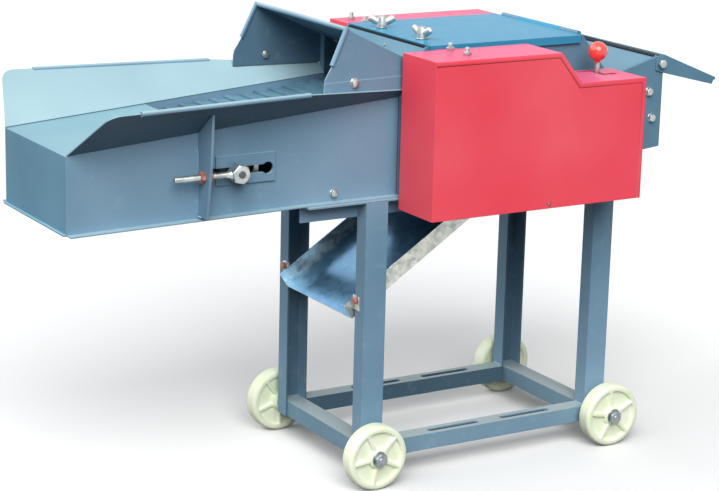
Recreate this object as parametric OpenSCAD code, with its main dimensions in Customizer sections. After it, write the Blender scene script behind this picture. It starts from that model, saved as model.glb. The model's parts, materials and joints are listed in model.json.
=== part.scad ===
// Conveyor-fed chaff cutter on a wheeled channel frame.
// X runs from the feed end to the discharge end, Y is across the machine
// (the gear side is -Y) and Z is up from the floor. All sizes are in millimetres.

/* [Frame] */
// Width of a leg channel, along X
leg_w = 40; // [34:1:50]
// Depth of a leg channel, along Y
leg_d = 28; // [24:1:34]
// Sheet of the leg and rail channels
channel_t = 3; // [2:0.5:4]
// Distance from the middle plane to the outside of the legs
leg_half_y = 139; // [134:1:150]
// Middle of the feed legs along X
leg_feed_x = -52; // [-70:1:-40]
// Distance between the feed legs and the discharge legs
leg_span = 447; // [430:1:470]
// Height of the underside of the frame above the floor
frame_foot_z = 39; // [32:1:44]
// Height of the top of the frame, where trough and casing stand
frame_top_z = 471; // [455:1:490]
// Height of a base rail
base_rail_h = 27; // [22:1:34]
// Width of a base rail
base_rail_w = 30; // [26:1:36]
// Length of a motor slot in a base rail
slot_len = 100; // [60:1:110]
// Width of a motor slot
slot_w = 11; // [8:0.5:14]
// Distance between the two slots of a rail
slot_pitch = 144; // [130:1:170]
// Middle of the slots along X
slot_mid_x = 188; // [170:1:200]
// Height of a top rail
top_rail_h = 30; // [24:1:36]
// Distance from the middle plane to the inner face of a top rail
top_rail_y = 108; // [104:1:108]
// Feed end of the top rails
top_rail_x0 = -176; // [-220:1:-120]

/* [Wheels] */
// Radius of a wheel
wheel_r = 54; // [48:1:60]
// Width of the tread
wheel_w = 28; // [22:1:38]
// Gap between leg and tread
wheel_gap = 11; // [8:1:16]
// Radius of the wheel hub
wheel_hub_r = 17; // [15:1:20]
// Diameter of a wheel axle
axle_d = 12; // [8:1:16]
// Distance of the feed axle from the middle of its leg, outward
feed_axle_out = 8; // [-8:1:12]
// Distance of the discharge axle from the middle of its leg, outward
disch_axle_out = 14; // [-8:1:14]
// Width of the ribs of a wheel
wheel_rib_w = 5; // [3:0.5:8]
// Ribs on the face of a wheel
wheel_ribs = 5; // [3:1:7]

/* [Trough] */
// Feed end of the trough
trough_x0 = -571; // [-620:1:-540]
// Throat end of the trough
trough_x1 = -6; // [-12:1:0]
// Distance from the middle plane to the outside of a trough wall
trough_half = 118.5; // [116:0.5:118.5]
// Sheet of trough and hood
sheet_t = 2; // [1.5:0.5:3]
// Height of the wall fold at the feed end, above the frame
fold_feed_h = 113; // [101:1:121]
// Height of the wall fold at the throat, above the frame
fold_throat_h = 159; // [154:1:164]
// Height of the wing rim above the frame
rim_h = 184; // [176:1:196]
// Height of the wing rim at the throat, above the frame
rim_throat_h = 173; // [168:1:178]
// Outward run of a wing for each unit of rise
wing_flare = 1.3; // [1:0.05:1.6]
// Feed end of the wing rim
rim_x0 = -515; // [-530:1:-500]
// Radius of the outer corner of a wing
wing_corner_r = 22; // [15:1:45]
// Feed end of the rolled hem
hem_x0 = -490; // [-500:1:-400]
// Throat end of the rolled hem
hem_x1 = -192; // [-220:1:-180]
// Diameter of the rolled hems
hem_d = 8; // [5:0.5:10]
// Fall of the foot of the trough from the top rails to the feed end
foot_fall = 7; // [0:1:12]
// Width of the lip along the foot of the trough
lip_w = 14; // [8:1:18]
// Width of the lip at the foot of the feed end
end_lip_w = 5; // [2:1:10]
// Throat end of the feed table
table_x1 = -335; // [-350:1:-325]

/* [Conveyor] */
// Drive roller axis along X
drive_x = 50; // [48:0.5:54]
// Height of the drive roller axis above the frame
drive_h = 106; // [102:0.5:108]
// Radius of the drive roller
drive_r = 45; // [40:0.5:46]
// Diameter of the drive roller shaft
drive_shaft_d = 20; // [14:1:24]
// Tail roller axis along X
tail_x = -299; // [-305:0.5:-295]
// Height of the tail roller axis above the frame
tail_h = 67; // [63:0.5:71]
// Radius of the tail roller
tail_r = 52; // [44:0.5:54]
// Diameter of the tail axle
tail_axle_d = 11; // [8:0.5:12]
// Travel of the tail axle when the belt is slackened
tension_travel = 20; // [5:1:24]
// Half length of the rollers
roller_half = 104.5; // [96:0.5:106]
// Half width of the belt
belt_half = 105; // [95:0.5:110]
// Thickness of the belt
belt_t = 4; // [3:0.5:5]
// Height of a belt rib
rib_h = 4; // [2:0.5:5]
// Width of a belt rib
rib_w = 8; // [5:0.5:12]
// Distance between belt ribs
rib_pitch = 26; // [20:1:40]
// Diameter of the tension screws
screw_d = 10; // [8:1:12]
// Distance from the middle plane to the tension screws
screw_y = 140; // [136:1:144]
// Middle of the tension gussets along X
gusset_x = -356; // [-362:1:-350]
// Thickness of the tension gussets
gusset_t = 4; // [3:0.5:6]
// Height of the slot for the tail axle
axle_slot_w = 12.4; // [12.2:0.1:16]

/* [Hood] */
// Mouth of the hood along X
hood_mouth_x = -119; // [-130:1:-105]
// Height of the hood mouth above the frame
hood_mouth_h = 279; // [266:1:291]
// Half width of the hood at its mouth
hood_half = 146; // [142:1:150]
// Half width of the hood at its rear
hood_rear_half = 131; // [129:1:136]
// Rear end of the hood
hood_rear_x = 18; // [12:1:24]
// Fall of the hood top, in degrees
hood_fall = 25; // [20:0.5:28]

/* [Casing] */
// Distance from the middle plane to the outside of the casing
casing_half = 123; // [121:0.5:126]
// Thickness of the casing plates
casing_t = 4; // [3:0.5:5]
// Height of the casing top above the frame
casing_top_h = 236; // [230:1:242]
// Discharge end of the casing
casing_x1 = 517; // [500:1:530]
// Height of the discharge floor above the frame
spout_floor_h = 39; // [32:1:46]
// Feed edge of the cover
cover_x0 = 45; // [42:1:50]
// Cover hinge along X
hinge_x = 346; // [340:1:352]
// Diameter of the cover hinge pin
hinge_pin_d = 5; // [4:0.5:6]
// Half width of the cover
cover_half = 128; // [126.5:0.5:130]
// Thickness of the cover sheet
cover_t = 2; // [1.5:0.5:3]
// Depth of the cover flanges
cover_flange = 11; // [6:1:16]
// Hand knobs along X
knob_x = 70; // [62:1:76]
// Distance from the middle plane to a hand knob
knob_y = 62; // [40:1:90]
// Diameter of a hand knob screw
knob_screw_d = 8; // [6:1:10]
// Distance of the flap pivot from the discharge end
flap_inset = 7; // [5:1:11]
// Height of the flap pivot above the frame
flap_h = 179; // [176:1:182]
// Length of the flap from its pivot
flap_len = 128; // [80:1:160]
// Fall of the flap, in degrees
flap_fall = 21.6; // [15:0.1:30]

/* [Rotor] */
// Rotor axis along X
rotor_x = 240; // [236:0.5:244]
// Height of the rotor axis above the frame
rotor_h = 98; // [96:0.5:100]
// Radius of the knife circle
knife_r = 115; // [108:0.5:116]
// Half length of the knives
knife_half = 102; // [90:1:106]
// Thickness of a knife
knife_t = 8; // [5:0.5:10]
// Number of knives
knives = 4; // [3:1:6]
// Diameter of the rotor shaft
rotor_shaft_d = 30; // [26:1:34]
// Diameter of the gear end of the rotor shaft
rotor_end_d = 24; // [20:1:25]
// Radius of the drive pulley
pulley_r = 100; // [80:1:110]
// Number of belt grooves in the pulley
pulley_grooves = 2; // [1:1:2]

/* [Gears] */
// Module of the gears
gear_m = 3; // [2.8:0.1:3.1]
// Teeth of the rotor pinion
rotor_teeth = 14; // [13:1:15]
// Teeth of the large layshaft gear
lay_teeth = 44; // [43:1:45]
// Teeth of the small layshaft gear
lay_small_teeth = 14; // [13:1:15]
// Teeth of the idler
idler_teeth = 38; // [37:1:39]
// Teeth of the drive roller gear
drive_teeth = 36; // [35:1:37]
// Teeth of the upper roller gear
upper_teeth = 15; // [14:1:16]
// Face width of the gears in the outer plane
outer_gear_w = 16; // [12:1:18]
// Face width of the gears in the inner plane
inner_gear_w = 18; // [12:1:20]
// Radius of the upper feed roller
upper_r = 20; // [18:0.5:21]
// Bars on the upper feed roller
upper_bars = 12; // [8:1:16]
// Diameter of the upper roller shaft
upper_shaft_d = 18; // [14:1:20]

/* [Guards] */
// Back plane of both guards
guard_back_y = 145; // [140:1:147]
// Outer face of the gear guard
gear_guard_y = 243; // [236:1:260]
// Feed side of the gear guard
gear_guard_x0 = -17; // [-24:1:-10]
// Discharge side of the gear guard
gear_guard_x1 = 387; // [376:1:400]
// Drop of the foot of the guards below the frame top
guard_drop = 16; // [9:1:24]
// Height of the top of the gear guard above the frame
gear_guard_h = 234; // [230:1:246]
// Height of the step of the gear guard above the frame
guard_step_h = 183; // [176:1:191]
// End of the high top of the gear guard
guard_slope_x0 = 217; // [205:1:225]
// Start of the low top of the gear guard
guard_slope_x1 = 258; // [245:1:270]
// Outer face of the pulley guard
pulley_guard_y = 226; // [215:1:240]
// Feed side of the pulley guard
pulley_guard_x0 = 66; // [40:1:100]
// Discharge side of the pulley guard
pulley_guard_x1 = 370; // [355:1:390]
// Height of the top of the pulley guard above the frame
pulley_guard_h = 230.5; // [216:0.5:241]
// Sheet of the guards
guard_t = 1.5; // [1:0.5:2.5]

/* [Shift lever] */
// Shift lever along X
lever_x = 340; // [330:1:344]
// Shift lever and clutch groove across the machine
lever_y = 172; // [170:0.5:174]
// Drop of the rockshaft below the rotor axis
lever_drop = 34; // [32:1:38]
// Diameter of the lever rod
lever_rod_d = 8; // [6:1:10]
// Radius of the lever ball
ball_r = 16; // [12:1:20]
// Height of the middle of the lever ball above the frame
ball_h = 218; // [211:1:226]
// Tilt of the lever to each side, in degrees
lever_tilt = 9; // [5:0.5:9]

/* [Chute] */
// Lower end of the chute along X
chute_x0 = -75; // [-90:1:-74]
// Upper end of the chute along X
chute_x1 = 185; // [150:1:186]
// Drop of the lower end of the chute floor below the frame top
chute_drop = 199; // [194:1:209]
// Rise of the chute, in degrees
chute_rise = 33; // [30:0.5:33.5]
// Half width of the chute
chute_half = 107.5; // [95:0.5:107.5]
// Height of the chute walls
chute_wall = 28; // [15:1:34]
// Sheet of the chute
chute_t = 1.5; // [1:0.5:2.5]

/* [Clearances] */
// Radial clearance of running fits
run_gap = 0.05; // [0.03:0.01:0.1]
// Clearance between pieces that move past each other
free_gap = 0.3; // [0.2:0.05:0.5]
// Radial clearance of bolt holes
bolt_gap = 0.1; // [0.05:0.05:0.4]
// Thinning of each gear tooth for backlash
backlash = 0.3; // [0.2:0.05:0.5]

/* [Hidden] */
$fn = 48;
paint = "#6f8fa5";
red = "#ee4a5c";
zinc = "#d5d8d2";
steel = "#8d949a";
dark = "#2b2f33";
fold_feed_z = frame_top_z + fold_feed_h;
fold_throat_z = frame_top_z + fold_throat_h;
rim_z = frame_top_z + rim_h;
rim_throat_z = frame_top_z + rim_throat_h;
drive_z = frame_top_z + drive_h;
tail_z = frame_top_z + tail_h;
hood_mouth_z = frame_top_z + hood_mouth_h;
casing_top_z = frame_top_z + casing_top_h;
spout_floor_z = frame_top_z + spout_floor_h;
flap_z = frame_top_z + flap_h;
rotor_z = frame_top_z + rotor_h;
guard_foot_z = frame_top_z - guard_drop;
gear_guard_z = frame_top_z + gear_guard_h;
guard_step_z = frame_top_z + guard_step_h;
pulley_guard_z = frame_top_z + pulley_guard_h;
ball_z = frame_top_z + ball_h;
chute_z0 = frame_top_z - chute_drop;
leg_disch_x = leg_feed_x + leg_span;
wheel_feed_x = leg_feed_x - feed_axle_out;
wheel_disch_x = leg_disch_x + disch_axle_out;
leg_inner_y = leg_half_y - leg_d;
leg_top_z = frame_top_z - channel_t;
rail_top_z = frame_foot_z + base_rail_h;
rail_mid_y = leg_half_y - base_rail_w / 2;
wheel_y0 = leg_half_y + wheel_gap;
wheel_y1 = wheel_y0 + wheel_w;
hub_y0 = leg_half_y + wheel_gap / 2;
hub_y1 = wheel_y1 + 1;
foot_z = frame_top_z - foot_fall;
fold_rate = (fold_throat_z - fold_feed_z) / (trough_x1 - trough_x0);
fold_angle = atan(fold_rate);
function fold_z(x) = fold_feed_z + fold_rate * (x - trough_x0);
// Position of a wing point at x and height z, in the plane of the wing
function wing_uv(x, z) =
    let (rise = z - fold_z(x))
    [(x - trough_x0) / cos(fold_angle) + rise * sin(fold_angle), rise * norm([wing_flare, cos(fold_angle)])];
wing_tilt = atan2(cos(fold_angle), wing_flare);
// Lap of the wing over the top edge of the wall
wing_lap = sheet_t / 4;
function wing_y(x, z) = trough_half + wing_flare * (z - fold_z(x));
// Thickness of the doubler along the foot of the hood
hood_lap = 1.2;
hood_rate = tan(hood_fall);
function hood_top(x) = hood_mouth_z - hood_rate * (x - hood_mouth_x) - 3;
hood_turn = atan2(hood_half - hood_rear_half, hood_rear_x - hood_mouth_x);
casing_x0 = trough_x1 + free_gap;
casing_in = casing_half - casing_t;
flap_x = casing_x1 - flap_inset;
seam_z = rotor_z;
hinge_z = casing_top_z + cover_t / 2;
knuckle_r = hinge_pin_d / 2 + 2.5;
knuckle_half = 58;
hinge_half = 110;
valley_x = hinge_x + 59;
valley_z = casing_top_z - 72;
spout_tip = [flap_x - 5, flap_z + 13.5];
belt_in_tail = tail_r + free_gap;
belt_in_drive = drive_r + free_gap;
drive_axis = [drive_x, drive_z];
tail_axis = [tail_x, tail_z];
slack_axis = [tail_x + tension_travel, tail_z];
rotor_axis = [rotor_x, rotor_z];
function mesh(a, b) = gear_m * (a + b) / 2;
// Third corner of a triangle with side lengths r and q from the corners a and b
function corner(a, r, b, q) =
    let (d = norm(b - a), u = (b - a) / d, s = (r * r - q * q + d * d) / (2 * d), h = sqrt(r * r - s * s))
    a + s * u + h * [-u[1], u[0]];
lay_axis = rotor_axis - [mesh(rotor_teeth, lay_teeth), 0];
upper_axis = drive_axis + [0, mesh(drive_teeth, upper_teeth)];
idler_axis = corner(drive_axis, mesh(drive_teeth, idler_teeth), lay_axis, mesh(lay_small_teeth, idler_teeth));
idler_axis_low = corner(lay_axis, mesh(lay_small_teeth, idler_teeth), drive_axis, mesh(drive_teeth, idler_teeth));
idler_at = idler_axis[1] < idler_axis_low[1] ? idler_axis : idler_axis_low;
inner_gear_y = 160;
outer_gear_y = inner_gear_y + inner_gear_w + 10;
gear_end_y = outer_gear_y + outer_gear_w;
bearing_t = 22;
lever_z = rotor_z - lever_drop;
collar_w = 16;
collar_r = 21;
groove_w = 6.7;
fork_pin_d = 6;
bed_z = drive_z + drive_r + belt_t / 2;
x_low = trough_x0 - end_lip_w;
flap_tip = [flap_x + flap_len * cos(flap_fall), flap_z - flap_len * sin(flap_fall) + 15];
x_high = flap_tip[0] + 2;
shift = [-(x_low + x_high) / 2, (gear_guard_y - pulley_guard_y) / 2, 0];
casing_bolts = [[casing_x1 - 29, rotor_z + 34.5], [casing_x1 - 21, rotor_z - 11]];
trough_bolt = [trough_x1 - 116, frame_top_z + 15];
hood_bolt = [14, rim_z + 9];
chute_bolt_z = chute_z0 + 33;
chute_bolt_y = leg_inner_y + 7;
guard_bolt_x = 66;
guard_bolt_y = [152, 200];
pulley_bolt_x = 96;
pulley_bolt_y = [160, 205];
bolt_d = 8;
stay_screw = [205, guard_foot_z + 7];

// A profile in the XZ plane, carried along Y from y0 to y1
module along_y(y0, y1) {
    translate([0, y1, 0])
        rotate([90, 0, 0])
            linear_extrude(y1 - y0)
                children();
}

// A profile in the YZ plane, carried along X from x0 to x1
module along_x(x0, x1) {
    translate([x0, 0, 0])
        rotate([90, 0, 90])
            linear_extrude(x1 - x0)
                children();
}

module rod_y(at, r, y0, y1) {
    translate([at[0], y0, at[1]])
        rotate([-90, 0, 0])
            cylinder(h = y1 - y0, r = r);
}

module rod_x(y, z, r, x0, x1) {
    translate([x0, y, z])
        rotate([0, 90, 0])
            cylinder(h = x1 - x0, r = r);
}

// Block between two opposite corners
module block(low, high) {
    translate(low)
        cube(high - low);
}

// What is drawn for the near side, drawn there or mirrored to the far side
module on_side(far) {
    mirror([0, far ? 1 : 0, 0])
        children();
}

module both_sides() {
    for (far = [false, true])
        on_side(far)
            children();
}

// Folded sheet: a strip of thickness t along a line of points, mitred at each fold
function unit(v) = v / norm(v);
function left_of(v) = [-v[1], v[0]];
function mitre(p, i) =
    let (
        n0 = left_of(unit(p[max(i, 1)] - p[max(i, 1) - 1])),
        n1 = left_of(unit(p[min(i + 1, len(p) - 1)] - p[min(i, len(p) - 2)]))
    )
    (n0 + n1) / (1 + n0 * n1);

module folded(points, t) {
    last = len(points) - 1;
    polygon(concat(
        [for (i = [0 : last]) points[i] + mitre(points, i) * t / 2],
        [for (i = [last : -1 : 0]) points[i] - mitre(points, i) * t / 2]
    ));
}

// Slot with round ends, length measured end to end
module slot_shape(length, w) {
    square([length - w, w], center = true);
    for (s = [-1, 1])
        translate([s * (length - w) / 2, 0])
            circle(d = w);
}

// Half angle of an involute tooth at radius r, for pitch radius p and n teeth
function involute(a) = tan(a) * 180 / PI - a;
function tooth_half(r, p, n) =
    90 / n + involute(20) - involute(acos(min(1, p * cos(20) / r))) - backlash / 2 / p * 180 / PI;
function tooth_radii(p) = [p - 1.2 * gear_m, p - 0.5 * gear_m, p + 0.2 * gear_m, p + 0.92 * gear_m];

// Gear outline with n teeth, one of them pointing at the angle phase
module gear_shape(n, phase) {
    p = gear_m * n / 2;
    radii = tooth_radii(p);
    polygon([
        for (i = [0 : n - 1], s = [-1, 1], k = [0 : 3])
            let (
                r = s < 0 ? radii[k] : radii[3 - k],
                a = phase + i * 360 / n + s * tooth_half(r, p, n)
            )
            [r * cos(a), r * sin(a)]
    ]);
}

function bearing_of(a, b) = atan2(b[1] - a[1], b[0] - a[0]);
// Phase of a gear with n2 teeth at b that meshes with a gear of n1 teeth at a
function mesh_phase(a, n1, phase1, b, n2) =
    let (t = bearing_of(a, b)) t + 180 + 180 / n2 - (phase1 - t) * n1 / n2;
rotor_phase = 0;
lay_phase = mesh_phase(rotor_axis, rotor_teeth, rotor_phase, lay_axis, lay_teeth);
idler_phase = mesh_phase(lay_axis, lay_small_teeth, lay_phase, idler_at, idler_teeth);
drive_phase = mesh_phase(idler_at, idler_teeth, idler_phase, drive_axis, drive_teeth);
upper_phase = mesh_phase(drive_axis, drive_teeth, drive_phase, upper_axis, upper_teeth);

module gear_at(axis, n, phase, y0, w) {
    along_y(-y0 - w, -y0)
        translate(axis)
            gear_shape(n, phase);
}

// Frame

// Channel leg, open toward the middle plane
module leg(x, far, chute_ear) {
    color(paint)
        on_side(far)
            difference() {
                block([x - leg_w / 2, -leg_half_y, frame_foot_z], [x + leg_w / 2, -leg_inner_y, leg_top_z]);
                block(
                    [x - leg_w / 2 + channel_t, -leg_half_y + channel_t, frame_foot_z - 1],
                    [x + leg_w / 2 - channel_t, -leg_inner_y + 1, leg_top_z + 1]
                );
                if (chute_ear)
                    rod_x(-chute_bolt_y, chute_bolt_z, bolt_d / 2 + bolt_gap, x - leg_w / 2 - 1, x);
            }
}

module leg_near_feed() { leg(leg_feed_x, false, true); }
module leg_far_feed() { leg(leg_feed_x, true, true); }
module leg_near_discharge() { leg(leg_disch_x, false, false); }
module leg_far_discharge() { leg(leg_disch_x, true, false); }

// Inverted channel between the legs, with the motor slots in its top
module base_rail(far) {
    x0 = leg_feed_x + leg_w / 2;
    x1 = leg_disch_x - leg_w / 2;
    color(paint)
        on_side(far)
            difference() {
                block([x0, -leg_half_y, frame_foot_z], [x1, -leg_half_y + base_rail_w, rail_top_z]);
                block(
                    [x0 - 1, -leg_half_y + channel_t, frame_foot_z - 1],
                    [x1 + 1, -leg_half_y + base_rail_w - channel_t, rail_top_z - channel_t]
                );
                for (s = [-1, 1])
                    translate([slot_mid_x + s * slot_pitch / 2, -rail_mid_y, rail_top_z - channel_t - 1])
                        linear_extrude(channel_t + 2)
                            slot_shape(slot_len, slot_w);
            }
}

module base_rail_near() { base_rail(false); }
module base_rail_far() { base_rail(true); }

// Inverted channel across the frame, let into the legs
module base_cross(x) {
    half = leg_w / 2 - channel_t;
    y1 = leg_half_y - channel_t;
    color(paint)
        difference() {
            block([x - half, -y1, frame_foot_z], [x + half, y1, rail_top_z]);
            block(
                [x - half + channel_t, -y1 - 1, frame_foot_z - 1],
                [x + half - channel_t, y1 + 1, rail_top_z - channel_t]
            );
        }
}

module base_cross_feed() { base_cross(leg_feed_x); }
module base_cross_discharge() { base_cross(leg_disch_x); }

// Angle rail: its flange lies on the legs, its web hangs inside them
module top_rail(far) {
    color(paint)
        on_side(far) {
            block(
                [top_rail_x0, -leg_half_y, frame_top_z - channel_t],
                [leg_disch_x + leg_w / 2, -top_rail_y, frame_top_z]
            );
            block(
                [top_rail_x0, -top_rail_y - channel_t, frame_top_z - top_rail_h],
                [leg_disch_x + leg_w / 2, -top_rail_y, frame_top_z]
            );
        }
}

module top_rail_near() { top_rail(false); }
module top_rail_far() { top_rail(true); }

// Wheels

// Sector between two ribs of a wheel
module wheel_pocket(mid) {
    half = 180 / wheel_ribs;
    function at(a) = [cos(a), sin(a)];
    apex = wheel_rib_w / 2 / sin(half) * at(mid);
    difference() {
        intersection() {
            circle(r = wheel_r * 0.76);
            polygon([apex, apex + 2 * wheel_r * at(mid - half), apex + 2 * wheel_r * at(mid + half)]);
        }
        circle(r = wheel_hub_r);
    }
}

// Moulded wheel: rounded tread, hub, and shallow pockets between the ribs of both faces
module wheel(x, far) {
    deep = wheel_w * 0.25;
    color("#eef1d2")
        on_side(far)
            difference() {
                translate([x, 0, wheel_r])
                    rotate([90, 0, 0])
                        rotate_extrude($fn = 96)
                            polygon([
                                [0, hub_y0], [wheel_hub_r, hub_y0], [wheel_hub_r, wheel_y0],
                                [wheel_r - 6, wheel_y0], [wheel_r - 2, wheel_y0 + 2.5], [wheel_r, wheel_y0 + 8],
                                [wheel_r, wheel_y1 - 8], [wheel_r - 2, wheel_y1 - 2.5], [wheel_r - 6, wheel_y1],
                                [wheel_hub_r, wheel_y1], [wheel_hub_r - 1, hub_y1], [0, hub_y1]
                            ]);
                for (i = [0 : wheel_ribs - 1], y = [wheel_y0, wheel_y1])
                    along_y(-y - deep, -y + deep)
                        translate([x, wheel_r])
                            wheel_pocket(90 + i * 360 / wheel_ribs);
                rod_y([x, wheel_r], axle_d / 2 + run_gap, -hub_y1 - 1, -hub_y0 + 1);
            }
}

module wheel_near_feed() { wheel(wheel_feed_x, false); }
module wheel_far_feed() { wheel(wheel_feed_x, true); }
module wheel_near_discharge() { wheel(wheel_disch_x, false); }
module wheel_far_discharge() { wheel(wheel_disch_x, true); }

// Stub axle welded to the leg, with its collar, washer and hex nut
module wheel_axles() {
    color(zinc)
        both_sides()
            for (x = [wheel_feed_x, wheel_disch_x]) {
                rod_y([x, wheel_r], axle_d / 2, -hub_y1 - 12, -leg_half_y);
                rod_y([x, wheel_r], axle_d / 2 + 5, -hub_y0 + free_gap, -leg_half_y);
                rod_y([x, wheel_r], axle_d / 2 + 7, -hub_y1 - 2, -hub_y1 - free_gap);
                translate([x, -hub_y1 - 2, wheel_r])
                    rotate([90, 0, 0])
                        cylinder(h = 7, r = axle_d, $fn = 6);
            }
}

// Trough and conveyor

// Rolled hem along X, open at both ends
module hem(length) {
    difference() {
        rod_x(0, 0, hem_d / 2, 0, length);
        for (x = [-1, length - 2 * hem_d])
            rod_x(0, 0, hem_d / 2 - 1.2, x, x + 2 * hem_d + 1);
    }
}

// Plane of a wing: x along the fold line, y up the wing, thickness on the inside
module in_wing_plane() {
    translate([trough_x0, -trough_half + wing_lap, fold_feed_z])
        rotate([0, -fold_angle, 0])
            rotate([180 - wing_tilt, 0, 0])
                translate([0, 0, -sheet_t])
                    children();
}

// Rounded corner of radius r at b between the lines to a and c
function rounded(a, b, c, r) =
    let (
        u = (a - b) / norm(a - b),
        v = (c - b) / norm(c - b),
        half = acos(u * v) / 2,
        m = b + (u + v) / norm(u + v) * r / sin(half),
        from = b + u * r / tan(half),
        start = atan2(from[1] - m[1], from[0] - m[0]),
        turn = 180 - 2 * half
    )
    [for (i = [0 : 8]) m + r * [cos(start - turn * i / 8), sin(start - turn * i / 8)]];

module trough_side(far) {
    foot = wing_uv(trough_x0 + wing_lap, fold_z(trough_x0 + wing_lap));
    throat_foot = wing_uv(trough_x1 - wing_lap, fold_z(trough_x1 - wing_lap));
    outer = wing_uv(rim_x0 - 25, rim_z);
    hem_end = wing_uv(hem_x1, rim_z);
    throat = wing_uv(trough_x1 - wing_lap, rim_throat_z);
    tuck = [0, -sheet_t * 0.8];
    hem_from = [hem_x0, -wing_y(hem_x0, rim_z) + 1, rim_z];
    hem_run = [hem_x1 - 3, -wing_y(hem_x1 - 3, rim_z) + 1, rim_z] - hem_from;
    color(paint)
        on_side(far) {
            difference() {
                union() {
                    along_y(-trough_half, -trough_half + sheet_t)
                        polygon([
                            [trough_x0, foot_z], [top_rail_x0, frame_top_z], [trough_x1, frame_top_z],
                            [trough_x1, fold_throat_z], [trough_x0, fold_feed_z]
                        ]);
                    block(
                        [tail_x - 30, -trough_half - 3, tail_z - 21],
                        [tail_x + 72, -trough_half, tail_z + 24.5]
                    );
                }
                along_y(-trough_half - 4, -trough_half + sheet_t + 1) {
                    translate([tail_x + 10.5, tail_z])
                        slot_shape(115, axle_slot_w);
                    translate([tail_x + 59, tail_z])
                        circle(d = 19);
                }
                rod_y(trough_bolt, bolt_d / 2 + bolt_gap, -trough_half - 1, -trough_half + sheet_t + 1);
            }
            along_y(-trough_half - lip_w, -trough_half + sheet_t)
                folded([
                    [trough_x0, foot_z + sheet_t / 2], [top_rail_x0, frame_top_z + sheet_t / 2],
                    [trough_x1, frame_top_z + sheet_t / 2]
                ], sheet_t);
            in_wing_plane()
                linear_extrude(sheet_t)
                    polygon(concat(
                        [foot + tuck, foot],
                        rounded(foot, outer, hem_end, wing_corner_r),
                        [hem_end, throat, throat_foot, throat_foot + tuck]
                    ));
            translate(hem_from)
                rotate([0, 0, atan2(hem_run[1], hem_run[0])])
                    hem(norm(hem_run));
        }
}

module trough_side_near() { trough_side(false); }
module trough_side_far() { trough_side(true); }

// End panel of the trough, folded over into the feed table
module feed_table() {
    x = trough_x0 + sheet_t / 2;
    y = trough_half - sheet_t;
    color("#8fb4c4")
        along_y(-y, y)
            folded([
                [trough_x0 - end_lip_w, foot_z + sheet_t / 2], [x, foot_z + sheet_t / 2],
                [x, fold_z(x) - sheet_t], [table_x1, fold_z(table_x1) - sheet_t]
            ], sheet_t);
}

// Outline of a belt that runs round the tail and drive rollers, grown by extra
function tangent_normal(a, ra, b, rb, s) =
    let (t = bearing_of(a, b) + s * acos((ra - rb) / norm(b - a))) [cos(t), sin(t)];
top_normal = tangent_normal(tail_axis, belt_in_tail, drive_axis, belt_in_drive, 1);
low_normal = tangent_normal(slack_axis, belt_in_tail, drive_axis, belt_in_drive, -1);

module belt_loop(extra) {
    rt = belt_in_tail + extra;
    rd = belt_in_drive + extra;
    for (c = [tail_axis, slack_axis])
        translate(c)
            circle(r = rt, $fn = 96);
    translate(drive_axis)
        circle(r = rd, $fn = 96);
    polygon([
        tail_axis + rt * top_normal, drive_axis + rd * top_normal, drive_axis + rd * low_normal,
        slack_axis + rt * low_normal, slack_axis + [0, -rt], tail_axis + [0, -rt]
    ]);
}

// One rib on the belt, standing out along a normal
module belt_rib(at, normal) {
    translate(at)
        rotate(atan2(normal[1], normal[0]) - 90)
            translate([-rib_w / 2, -1])
                square([rib_w, rib_h + 1]);
}

module conveyor_belt() {
    rt = belt_in_tail + belt_t;
    rd = belt_in_drive + belt_t;
    top_run = [tail_axis + rt * top_normal, drive_axis + rd * top_normal];
    low_run = [slack_axis + rt * low_normal, drive_axis + rd * low_normal];
    color(dark) {
        along_y(-belt_half, belt_half)
            difference() {
                belt_loop(belt_t);
                belt_loop(0);
            }
        along_y(-belt_half, belt_half) {
            for (run = [[top_run, top_normal], [low_run, low_normal]]) {
                step = run[0][1] - run[0][0];
                count = floor(norm(step) / rib_pitch);
                for (i = [0 : count])
                    belt_rib(run[0][0] + step * i / count, run[1]);
            }
            for (a = [120 : 26 : 250])
                belt_rib(tail_axis + rt * [cos(a), sin(a)], [cos(a), sin(a)]);
            for (a = [-60 : 30 : 70])
                belt_rib(drive_axis + rd * [cos(a), sin(a)], [cos(a), sin(a)]);
        }
    }
}

// Slider plate under the carrying run of the belt
module belt_bed() {
    y = trough_half - sheet_t;
    from = tail_axis + belt_in_tail * top_normal;
    run = drive_axis + belt_in_drive * top_normal - from;
    color(paint)
        along_y(-y, y)
            folded([for (s = [0.2, 0.8]) from + run * s - top_normal * (1 + sheet_t / 2)], sheet_t);
}

// Roller tube with end plates, a hub tube and lightening holes in the plates
module drum(axis, r, bore) {
    plate_t = 6;
    hole_r = (r - bore - 13) / 2 - 2;
    difference() {
        rod_y(axis, r, -roller_half, roller_half);
        difference() {
            rod_y(axis, r - 5, -roller_half + plate_t, roller_half - plate_t);
            rod_y(axis, bore + 6, -roller_half, roller_half);
        }
        for (i = [0 : 3])
            rod_y(axis + (r + bore + 1) / 2 * [cos(i * 90), sin(i * 90)], hole_r,
                -roller_half - 1, roller_half + 1);
        rod_y(axis, bore, -roller_half - 1, roller_half + 1);
    }
}

module drive_roller() {
    color(steel) {
        drum(drive_axis, drive_r, drive_shaft_d / 2 - 1);
        rod_y(drive_axis, drive_shaft_d / 2, -inner_gear_y - inner_gear_w - 2, casing_half + 10);
    }
}

module tail_roller() {
    color(steel)
        drum(tail_axis, tail_r, tail_axle_d / 2 + run_gap);
}

module tail_axle() {
    color(zinc)
        rod_y(tail_axis, tail_axle_d / 2, -screw_y - 12, screw_y + 12);
}

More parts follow.
